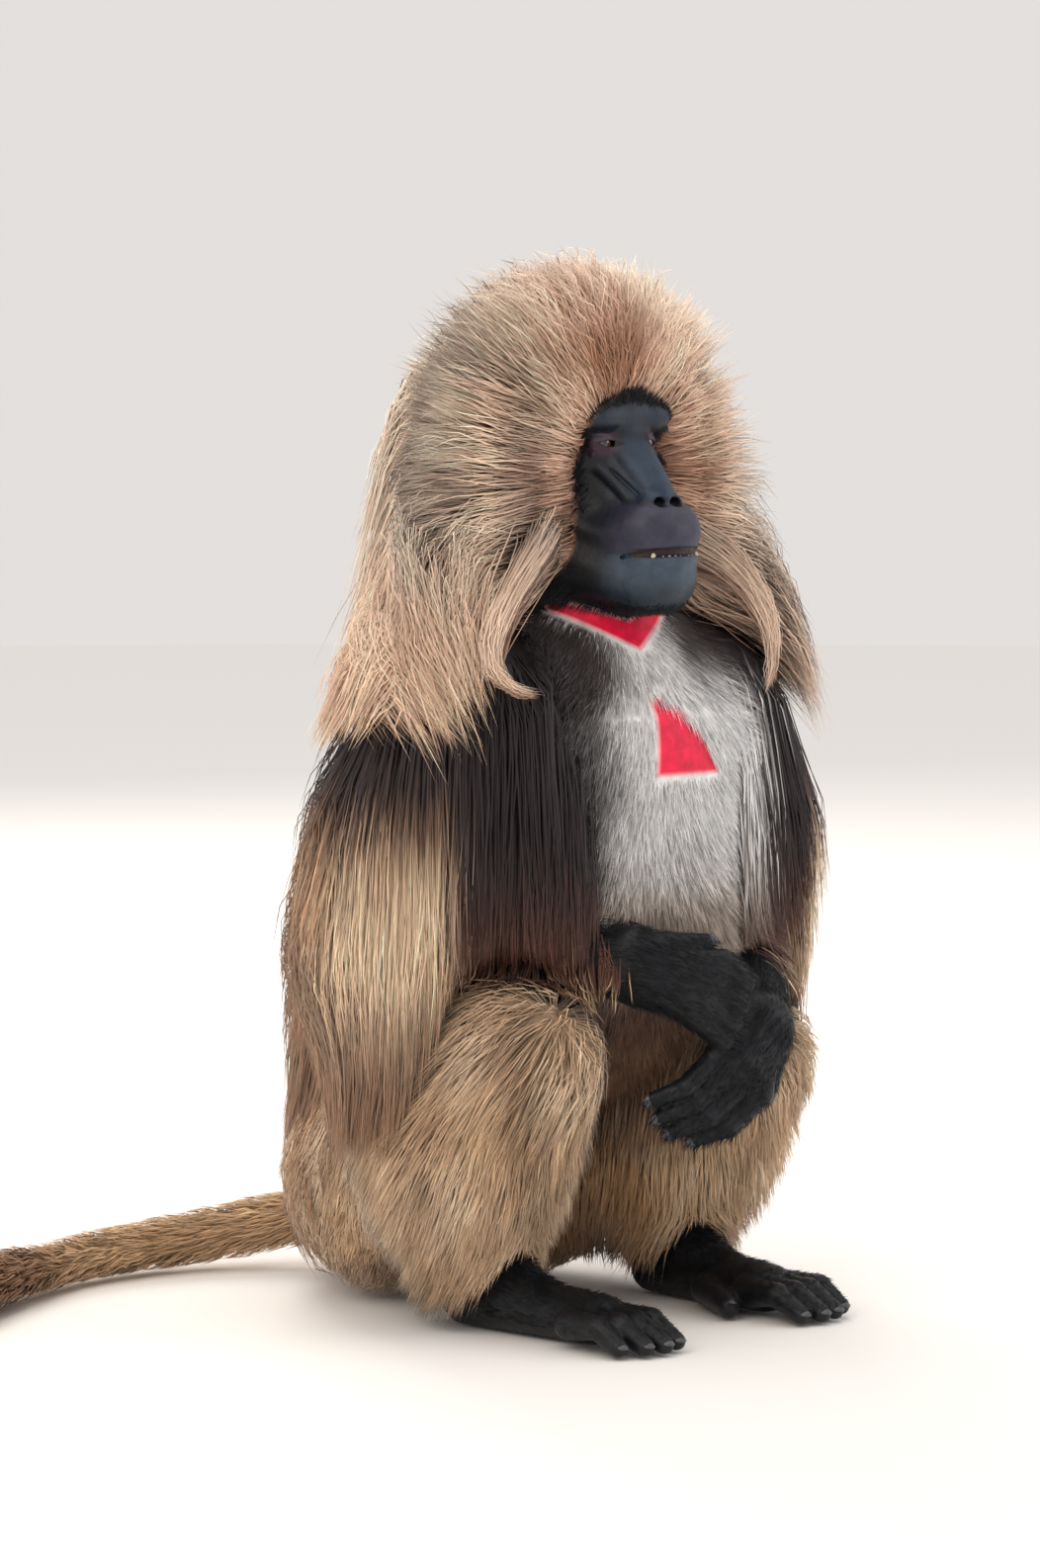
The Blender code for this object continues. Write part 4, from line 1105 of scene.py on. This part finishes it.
def hair_mesh(name, random, paths, width, colour_of, lock, unwrap, tone, fray):
    """Closed three-sided tapering hairs along the paths, with colours, soft normals and two UV maps."""
    count, rings = paths.shape[0], paths.shape[1] - 1
    ahead = unit(np.diff(paths, axis=1))
    coat_way = grid_slope(coat_grid, paths.reshape(-1, 3)).reshape(count, rings + 1, 3)
    twist = random.uniform(-0.7, 0.7, (count, 1, 1))
    flat_way = unit(np.cross(ahead, coat_way[:, :-1] + 1e-6))
    upright = np.cross(flat_way, ahead)
    aside = flat_way * np.cos(twist) + upright * np.sin(twist)
    upward = upright * np.cos(twist) - flat_way * np.sin(twist)
    share = np.arange(rings) / rings
    taper = np.interp(share, (0, 0.3, 0.6, 0.85, 1), (0.75, 1.0, 0.85, 0.5, 0.25))
    spokes = aside[:, :, None] * ACROSS[:, None] + upward[:, :, None] * UPWARD[:, None]
    ring_places = paths[:, :-1, None] + spokes * (width[:, None] * taper)[..., None, None]
    places = np.concatenate([ring_places.reshape(count, -1, 3), paths[:, -1:]], 1)
    normals = unit(unit(spokes) * (1 - NORMAL_SHARE) + coat_way[:, :-1, None] * NORMAL_SHARE)
    normals = np.concatenate([normals.reshape(count, -1, 3), coat_way[:, -1:]], 1)
    size, last = places.shape[1], (rings - 1) * 3
    low, now, after = np.arange(rings - 1)[:, None] * 3, np.array((0, 1, 2)), np.array((1, 2, 0))
    one_side = np.stack([low + now, low + after + 3, low + after], -1).reshape(-1, 3)
    other_side = np.stack([low + now, low + now + 3, low + after + 3], -1).reshape(-1, 3)
    tip = np.stack([last + now, np.full(3, size - 1), last + after], -1)
    template = np.concatenate([[(0, 1, 2)], one_side, other_side, tip])
    faces = (template[None] + (np.arange(count) * size)[:, None, None]).reshape(-1, 3)
    thing = new_mesh(name, places.reshape(-1, 3), faces)
    thing.data.normals_split_custom_set_from_vertices(normals.reshape(-1, 3))
    lightness = random.normal(size=count) * tone + random.normal(size=lock.max() + 1)[lock] * tone
    colours = colour_of(places + random.normal(size=(count, 1, 3)) * fray) * np.exp(lightness)[:, None, None]
    along = np.concatenate([np.repeat(share, 3), [1.0]])
    # Darker towards the root: partly the hair's own darker base, partly painted shade deep in the coat.
    colours = colours * (0.7 + 0.4 * np.clip(along * 1.6, 0, 1))[None, :, None]
    paint(thing, np.clip(colours, 0, 0.95).reshape(-1, 3))
    spot = unwrap(paths[:, 0])
    spot = (spot - spot.min(0)) / (spot.max(0) - spot.min(0)) * 0.99 + 0.005
    across = np.concatenate([np.tile(ACROSS, rings), [0.0]])
    patch = np.stack([across, along - 0.5], -1) * BAKE_PATCH
    hair_length = lengths(np.diff(paths, axis=1)).sum(1)
    streak_u = across * width[:, None] + random.uniform(0, 1, (count, 1))
    streak = np.stack([streak_u, along * hair_length[:, None]], -1)
    for map_name, spots in (("OFBake", spot[:, None] + patch), ("Strand", streak)):
        layer = thing.data.uv_layers.new(name=map_name)
        layer.data.foreach_set("uv", spots.reshape(-1, 2)[faces.ravel()].astype(np.float32).ravel())
    return thing


def hair_material(name, roughness, specular, fineness, sheen):
    """Hair in tufts: its own markings, with single light and dark hairs of that width along each tuft."""
    material, shader = new_material(name, roughness, specular)
    shader.inputs["Sheen Weight"].default_value = sheen
    shader.inputs["Sheen Roughness"].default_value = 0.5
    marks = add_node(material, "Attribute", {"attribute_name": "Markings"}, out="Color")
    strand = add_node(material, "UVMap", {"uv_map": "Strand"})
    stretch = {"Scale": (1 / fineness, 1 / STREAK_LENGTH, 1)}
    stretched = add_node(material, "Mapping", stretch, {"Vector": strand})
    hairs = add_node(material, "TexNoise", {"Scale": 1.0, "Detail": 1.0}, {"Vector": stretched})
    fine = add_node(material, "MapRange", {**NOISE_MIDDLE, "To Min": 0.66, "To Max": 1.34}, {"Value": hairs})
    wire(material, "Base Color", add_node(material, "VectorMath", SCALE, {"Vector": marks, "Scale": fine}))
    return material


def ball_unwrap(roots):
    """Round the head's middle: turn and height as angles."""
    offset = roots - FACE_CENTRE
    return np.stack([np.arctan2(offset[:, 0], -offset[:, 1]), np.arcsin(offset[:, 2] / lengths(offset))], 1)


def barrel_unwrap(start, end):
    """Round the line from start to end: turn about it and way along it."""
    start = np.array(start, float)
    axis = unit(np.array(end, float) - start)
    first = unit(np.cross(axis, (0.31, 0.9, 0.3)))
    second = np.cross(axis, first)

    def spots(roots):
        """The turn and the way of each root."""
        offset = roots - start
        return np.stack([np.arctan2(offset @ second, offset @ first), offset @ axis], 1)

    return spots


def grow_coat(
    name, seed, count, steps, weight, comb, colour_of, length, width, material, unwrap, lie, lock
):
    """One piece of the coat, grown on the hide where weight allows, gathered in locks and made a mesh.

    Lie holds lift, turn, least and most depth, overshoot and stray; lock holds size, pull, spread,
    tone and fray.
    """
    random = np.random.default_rng(seed)
    total = np.cumsum(triangle_area * weight)
    chosen = np.minimum(np.searchsorted(total, random.uniform(0, total[-1], count)), len(total) - 1)
    first, second = random.uniform(0, 1, (2, count))
    folded = first + second > 1
    first, second = np.where(folded, 1 - first, first), np.where(folded, 1 - second, second)
    share = np.stack([1 - first - second, first, second], 1)[..., None]
    corners = skin_faces[chosen]
    roots, normals = (skin_places[corners] * share).sum(1), unit((skin_normals[corners] * share).sum(1))
    lift, turn, shallow, deep, proud, stray = lie
    size, pull, spread, tone, fray = lock
    own_length = length(roots) if callable(length) else np.full(count, float(length))
    own_length = own_length * random.uniform(0.72, 1.12, count)
    least = random.uniform(shallow, deep, count) ** 0.8
    over = proud * random.exponential(1.0, count).clip(0, 3)
    paths = grown(random, roots, normals, comb, own_length, steps, lift, turn, least, over, stray)
    paths, locks = gathered(random, paths, size, pull, spread)
    limit = (own_length[:, None] * np.linspace(0, 0.7, steps + 1)[1:]).ravel()
    flat = kept_in_coat(paths[:, 1:].reshape(-1, 3), np.repeat(least * 0.4, steps), 0.022, limit)
    paths[:, 1:] = flat.reshape(count, steps, 3)
    widths = width * random.uniform(0.7, 1.3, count)
    piece = hair_mesh(name, random, paths, widths, colour_of, locks, unwrap, tone, fray)
    piece.data.materials.append(material)
    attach(piece, "root")
    return piece


# Mane of the crown: long cream hair that stands up and back from the brow and fans out like a halo,
# with a chestnut patch along its middle.
mane_material = hair_material("long mane hair", 0.6, 0.25, 0.0003, 0.12)
face_edge_boost = 1 + 1.6 * soft(middle_in_mane, 16, 3)


def crown_comb(places, roots):
    """Away from the face's middle, more up and back than the root lies."""
    offset = roots - FACE_CENTRE
    away = np.stack([offset[:, 0] * 1.25, offset[:, 1] * 0.45 + 0.022, offset[:, 2] * 1.0 + 0.004], 1)
    return unit(away + (places - roots) * (0.25, 0.15, -0.45))


def crown_length(roots):
    """From 34 mm at the hairline to 96 mm on top, uneven from lock to lock."""
    ahead, around = face_angles(roots)
    uneven = 0.72 + 0.5 * ripple(roots, 0.017, 22)
    return np.interp(ahead - mane_edge(around), (0, 10, 30), (0.034, 0.06, 0.096)) * uneven


crown_part = in_groups("head") * soft(middle_in_mane, -1, 2) * soft(middle_around, 62, 54)
crown = grow_coat(
    "crown_hair", 21, 9500, 3, crown_part * soft(middle_ahead, 135, 120) * face_edge_boost, crown_comb,
    mane_colour, crown_length, 0.0011, mane_material, ball_unwrap,
    (0.5, 0.45, 0.05, 1.0, 0.008, 0.17), (0.012, 0.38, 0.008, 0.1, 0.007),
)
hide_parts("mane_crown")

# Side whiskers: hair swept out and back from the cheeks, short and fluffy at the face, then long and
# falling; the lowest hangs in one curved lock in front of each shoulder.
lock_x, lock_y, lock_height = np.array([place for place, _ in LOCK_ROUTE])[::-1].T


def whisker_comb(places, roots):
    """Out and back from the cheek at first, then down along the hanging lock's middle."""
    side = np.sign(roots[:, 0])
    offset = roots - FACE_CENTRE
    out = np.stack([offset[:, 0] * 1.1 + side * 0.034, 0.02 - 0.005 * side, offset[:, 2] * 0.9 + 0.006], 1)
    below = places[:, 2] - 0.045
    goal_x, goal_y = (np.interp(below, lock_height, route) for route in (lock_x, lock_y))
    goal = np.stack([side * goal_x, goal_y, below], 1) + offset * (0.45, 0.5, 0)
    fallen = soft(lengths(places - roots) - 0.06 * soft(roots[:, 2], 0.585, 0.625), 0.015, 0.085)
    return unit(mixed(unit(out), unit(goal - places), fallen))


def whisker_length(roots):
    """From 30 mm at the face to 100 mm, and to 215 mm low on the cheek."""
    ahead, around = face_angles(roots)
    grown_share = np.interp(ahead - mane_edge(around), (0, 8, 22), (0.3, 0.6, 1.0))
    low = soft(around, 112, 126) * (0.8 + 0.35 * ripple(roots, 0.018, 33))
    full = np.interp(around, (45, 80, 105, 122, 140), (0.104, 0.12, 0.13, 0.175, 0.215))
    return full * np.maximum(grown_share, low * 0.8)


for side, seed, count in ((-1, 31, 7400), (1, 32, 5200)):
    part = in_groups("head", "neck") * (middle_x * side > 0) * soft(middle_in_mane, -1, 2) * face_edge_boost
    part = part * soft(middle_around, 50, 60) * soft(middle_around, 150, 140) * soft(middle_ahead, 132, 118)
    whisker = grow_coat(
        "whisker_" + SIDE_NAME[side], seed, count, 4, part, whisker_comb, mane_colour, whisker_length, 0.0012,
        mane_material, ball_unwrap,
        (0.42, 0.5, 0.05, 1.0, 0.005, 0.12), (0.014, 0.48, 0.008, 0.1, 0.007),
    )
    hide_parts("mane_" + SIDE_NAME[side])

# Cheek locks: one curved lock of pale hair on each side, swept from the corner of the jaw out and down
# over the shoulder, with darker brown painted shade on the hairs underneath.
NEAR_LOCK = (
    (-0.064, -0.178, 0.587), (-0.092, -0.216, 0.578), (-0.128, -0.23, 0.553), (-0.157, -0.24, 0.522),
    (-0.169, -0.247, 0.496), (-0.16, -0.256, 0.481), (-0.144, -0.264, 0.475),
)
FAR_LOCK = (
    (0.062, -0.176, 0.58), (0.08, -0.214, 0.568), (0.099, -0.234, 0.548),
    (0.11, -0.246, 0.52), (0.111, -0.253, 0.493), (0.098, -0.259, 0.469),
)
LOCK_CREAM = mixed(CREAM, PALE_TIP, 0.25)
for side, route, seed, count in ((-1, NEAR_LOCK, 35, 400), (1, FAR_LOCK, 36, 360)):
    random = np.random.default_rng(seed)
    curve = np.polyfit(np.linspace(0, 1, len(route)), np.array(route), 4)
    along = np.linspace(0, 1, 8)[None] * random.uniform(0.6, 1.04, (count, 1))
    middle_line = np.stack([along**power for power in (4, 3, 2, 1, 0)], -1) @ curve
    offset = random.normal(size=(count, 1, 3)) * (0.007, 0.004, 0.008) * (1.1 - along[..., None])
    wave = 0.0025 * np.sin(along * random.uniform(7, 11, (count, 1)) + random.uniform(0, 6, (count, 1)))
    paths = middle_line + offset + wave[..., None] * random.normal(size=(count, 1, 3))

    def lock_colour_and_shade(places, depth=offset[:, :1, 2]):
        """Pale, and darker brown as painted shade where a hair runs under the lock."""
        # Darker brown on the hairs below the lock's middle: painted shade.
        under = soft(depth, 0.0, -0.008) * 0.75
        return mixed(np.broadcast_to(LOCK_CREAM, places.shape), MANE_BROWN * 0.7, under)

    name, widths = "cheek_lock_" + SIDE_NAME[side], 0.0012 * random.uniform(0.7, 1.3, count)
    one_lock = np.zeros(count, int)
    cheek_lock = hair_mesh(name, random, paths, widths, lock_colour_and_shade, one_lock, ball_unwrap, 0.1, 0.0)
    cheek_lock.data.materials.append(mane_material)
    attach(cheek_lock, "root")

# Nape: the mane's longest hair, which falls over the neck and withers on to the cape in wavy locks.


def nape_comb(places, roots):
    """Out and back from the head, then down over the shoulders."""
    nothing = 0 * roots[:, 0]
    start = np.stack([roots[:, 0] * 7, 0.35 + nothing, (roots[:, 2] - 0.62) * 2], 1)
    fall = np.stack([places[:, 0] * 1.2, 0.1 + nothing, -1.0 + nothing], 1)
    return unit(mixed(unit(start), unit(fall), soft(lengths(places - roots), 0.0, 0.06)))


def nape_length(roots):
    """From 80 mm on the withers to 210 mm on the back of the head, uneven from lock to lock."""
    uneven = 0.55 + 0.62 * ripple(roots, 0.022, 42)
    return np.interp(roots[:, 2], (0.46, 0.52, 0.6, 0.7), (0.08, 0.125, 0.18, 0.21)) * uneven


back_part = in_groups("head") * soft(middle_ahead, 112, 124)
back_part = back_part + in_groups("neck") * soft(middle_y, -0.165, -0.135)
withers_part = in_groups("trunk", "arm_left", "arm_right") * soft(middle_z, 0.46, 0.49)
nape = grow_coat(
    "nape_hair", 41, 6200, 4, back_part * 1.3 + withers_part * soft(middle_y, -0.19, -0.16), nape_comb,
    mane_colour, nape_length, 0.0015, mane_material,
    barrel_unwrap((0, -0.1, 0.4), (0, -0.13, 0.7)),
    (0.35, 0.5, 0.25, 1.0, 0.003, 0.08), (0.018, 0.62, 0.008, 0.11, 0.008),
)
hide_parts("mane_nape")

# Cape: very long dark hair that hangs from the shoulders and the upper back like a mantle, past the
# elbows, golden on the flanks, in soft overlapping points.
cape_material = hair_material("long cape hair", 0.48, 0.35, 0.00035, 0.08)


def cape_comb(places, roots):
    """Down, a little outward from the body's middle line."""
    out = unit(places * (1, 1, 0) + (0, 0.08, 0))
    return unit(out * 0.1 + (0, 0, -1.0))


def cape_length(roots):
    """As long as it takes to hang to the knee in front and almost to the floor behind."""
    front = soft(-0.85 * roots[:, 1] - (np.abs(roots[:, 0]) - 0.15), 0.12, 0.17)
    uneven = 0.014 * np.sin(roots[:, 0] * 700 + roots[:, 2] * 300) * np.sin(roots[:, 1] * 600)
    return np.clip(roots[:, 2] - 0.125 - 0.15 * front + uneven, 0.03, 0.2)


for side, seed, count in ((-1, 51, 8200), (1, 52, 4600)):
    inside_edge = 0.072 + 0.012 * side
    arm = in_groups("arm_" + SIDE_NAME[side], "forearm_" + SIDE_NAME[side])
    arm = arm * soft(middle_x * side, inside_edge, 0.097 + 0.012 * side) * soft(middle_z, 0.255, 0.285)
    flank = in_groups("trunk") * soft(middle_x * side, 0.066, 0.09) * soft(middle_z, 0.29, 0.32)
    part = np.maximum(arm, flank * 0.8) * soft(middle_z, 0.52, 0.49) * soft(middle_y, -0.075, -0.1)
    barrel = barrel_unwrap(on_side(side, (0.12, -0.12, 0.25)), on_side(side, SHOULDER))
    grow_coat(
        "cape_" + SIDE_NAME[side], seed, count, 4, part, cape_comb, cape_colour, cape_length, 0.0014,
        cape_material, barrel,
        (0.25, 0.55, 0.1, 1.0, 0.003, 0.035), (0.018, 0.65, 0.006, 0.13, 0.009),
    )

back = in_groups("trunk") * soft(middle_y, -0.125, -0.085) * soft(middle_z, 0.1, 0.16)
cape_back = grow_coat(
    "cape_back_hair", 53, 4800, 4, back, cape_comb, cape_colour, 0.15, 0.0016,
    cape_material, barrel_unwrap((0, -0.05, 0.1), (0, -0.1, 0.45)),
    (0.25, 0.5, 0.15, 1.0, 0.003, 0.04), (0.02, 0.65, 0.006, 0.13, 0.009),
)
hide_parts("cape_back")

# Chest and belly: short dense hair, white with dark tips on the chest, that lies down and outward
# round the bare red patch.
chest_material = hair_material("short chest hair", 0.65, 0.2, 0.0003, 0.15)


def chest_comb(places, roots):
    """Down, and away from the middle line."""
    return unit(np.stack([(roots[:, 0] - 0.005) * 8, 0 * roots[:, 0], -0.9 + 0 * roots[:, 0]], 1))


def speckled(places):
    """The body's colours with dark and light hairs mixed."""
    fleck = soft(ripple(places, 0.01, 61) * ripple(places, 0.004, 62), 0.26, 0.4)
    return mixed(body_colour(places) * 1.35, CHEST_DARK, fleck * soft(places[..., 2], 0.27, 0.32) * 0.7)


front = in_groups("trunk") * soft(middle_y, -0.085, -0.115) * soft(middle_z, 0.02, 0.05) * outside_patch
grow_coat(
    "chest_hair", 61, 30000, 1, front, chest_comb, speckled, 0.019, 0.0011,
    chest_material, barrel_unwrap((0, -0.1, 0.1), (0, -0.13, 0.48)),
    (0.3, 0.6, 0.05, 1.0, 0.001, 0.12), (0.008, 0.3, 0.002, 0.2, 0.004),
)

# Throat, beard and edge of the face: short black hair, longest under the jaw and smallest at the face.
black_material = hair_material("short black hair", 0.5, 0.25, 0.0003, 0.04)


def beard_comb(places, roots):
    """Back and down from the face, up and back on the brow's edge."""
    rise = np.where(roots[:, 2] > 0.665, 0.9, -0.75)
    return unit(np.stack([roots[:, 0] * 8, 0.55 + 0 * rise, rise], 1))


def beard_length(roots):
    """From 7 mm at the bare face to 24 mm under the jaw."""
    return 0.007 + 0.017 * soft(roots[:, 1], -0.225, -0.175) * soft(roots[:, 2], 0.6, 0.56)


jaw_side = soft(middle_y, -0.208, -0.19) * soft(middle_in_mane, 4, 0) * soft(middle_z, 0.64, 0.6)
hair_line = soft(middle_in_mane, -8, -2) * soft(middle_around, 125, 110)
hair_line = np.maximum(hair_line, soft(middle_z, 0.6765, 0.68) * soft(middle_around, 75, 60))
hair_line = hair_line * soft(middle_in_mane, 4, 0)
under_jaw = soft(middle_z, 0.541, 0.53) * soft(middle_y, -0.262, -0.245)
throat = in_groups("neck") * soft(middle_y, -0.12, -0.15)
beard_part = in_groups("head") * np.maximum(np.maximum(jaw_side, under_jaw), hair_line) + throat
grow_coat(
    "beard_hair", 71, 10000, 1, beard_part * outside_patch, beard_comb, black_colour, beard_length, 0.0009,
    black_material, ball_unwrap,
    (0.22, 0.6, 0.05, 0.4, 0.001, 0.1), (0.008, 0.3, 0.001, 0.12, 0.002),
)

# Forearms and hands: short glossy black hair that lies along the bones.
for side, seed in ((-1, 81), (1, 82)):
    elbow, wrist = np.array(ELBOW[side]), np.array(WRIST[side])
    along_arm, along_hand = unit(wrist - elbow), unit(np.array(FINGER_BEND[side]) - wrist)

    def arm_comb(places, roots):
        """Along the forearm, then along the fingers."""
        past = (roots - wrist) @ along_arm
        return unit(mixed(np.broadcast_to(along_arm, roots.shape), along_hand, soft(past, -0.02, 0.02)))

    def arm_length(roots):
        """From 26 mm on the forearm to 11 mm on the fingers."""
        return np.interp((roots - wrist) @ along_arm, (-0.06, 0.0, 0.05), (0.026, 0.021, 0.011))

    part = in_groups("forearm_" + SIDE_NAME[side]) + in_groups("hand_" + SIDE_NAME[side]) * 1.2
    grow_coat(
        "forearm_hair_" + SIDE_NAME[side], seed, 6500, 1, part, arm_comb, black_colour, arm_length, 0.0009,
        black_material, barrel_unwrap(elbow, KNUCKLES[side]),
        (0.24, 0.5, 0.05, 0.7, 0.001, 0.12), (0.008, 0.35, 0.001, 0.35, 0.002),
    )

# Legs: dense buff hair in soft locks, which falls over the shanks and hides the heels.
leg_material = hair_material("dense buff hair", 0.62, 0.2, 0.0003, 0.2)


def leg_comb(places, roots):
    """Down and a little back and outward, less steep on the knee."""
    knee_above = soft(roots[:, 2], 0.16, 0.22)
    aside = np.sign(roots[:, 0]) * (0.18 + 0.2 * knee_above)
    return unit(np.stack([aside, 0.25 + 0.15 * knee_above, -0.9 + 0.1 * knee_above], 1))


for side, seed, count in ((-1, 91, 13500), (1, 92, 9500)):
    part = in_groups("thigh_" + SIDE_NAME[side], "shank_" + SIDE_NAME[side]) * soft(middle_z, 0.02, 0.035)
    grow_coat(
        "leg_hair_" + SIDE_NAME[side], seed, count, 2, part, leg_comb, leg_colour, 0.048, 0.0013,
        leg_material, barrel_unwrap(ANKLE[side], KNEE[side]),
        (0.3, 0.5, 0.1, 1.0, 0.002, 0.08), (0.014, 0.5, 0.004, 0.11, 0.006),
    )

# Feet: very short black hair over the top of the foot, thinner towards the bare toes.


def foot_comb(places, roots):
    """Towards the toes."""
    return unit(np.stack([0 * roots[:, 0], -1.0 + 0 * roots[:, 0], -0.15 + 0 * roots[:, 0]], 1))


def foot_length(roots):
    """From 14 mm at the ankle to 5 mm on the toes."""
    return np.interp(roots[:, 1], (-0.33, -0.22), (0.005, 0.014))


for side, seed in ((-1, 101), (1, 102)):
    part = in_groups("foot_" + SIDE_NAME[side]) * soft(middle_z, 0.01, 0.016)
    grow_coat(
        "foot_hair_" + SIDE_NAME[side], seed, 3000, 1, part, foot_comb, black_colour, foot_length, 0.001,
        black_material, barrel_unwrap(ANKLE[side], TOES[side]),
        (0.15, 0.5, 0.05, 0.4, 0.001, 0.08), (0.008, 0.35, 0.001, 0.12, 0.002),
    )

# Tail: tan hair that lies along it, longer in the tuft at its end.


def tail_nearest(roots):
    """The number of the station of the tail's middle line that is nearest to each root."""
    return np.argmin(((roots[:, None] - tail_route[None]) ** 2).sum(-1), 1)


def tail_comb(places, roots):
    """Along the tail towards its tip."""
    return unit(np.gradient(tail_route, axis=0)[tail_nearest(roots)])


def tail_length(roots):
    """From 30 mm at the root to 70 mm in the tuft."""
    return np.interp(roots[:, 0], (-0.44, -0.3, -0.2), (0.07, 0.06, 0.03))


def tail_unwrap(roots):
    """Round the tail's middle line and along it."""
    nearest = tail_nearest(roots)
    offset = roots - tail_route[nearest]
    turn = np.arctan2(offset[:, 2], offset[:, 1] + offset[:, 0])
    return np.stack([turn, nearest / TAIL_STEPS + offset[:, 0]], 1)


grow_coat(
    "tail_hair", 111, 4800, 2, in_groups("tail"), tail_comb, tail_colour, tail_length, 0.0012,
    leg_material, tail_unwrap,
    (0.22, 0.5, 0.1, 1.0, 0.002, 0.06), (0.012, 0.45, 0.003, 0.12, 0.006),
)
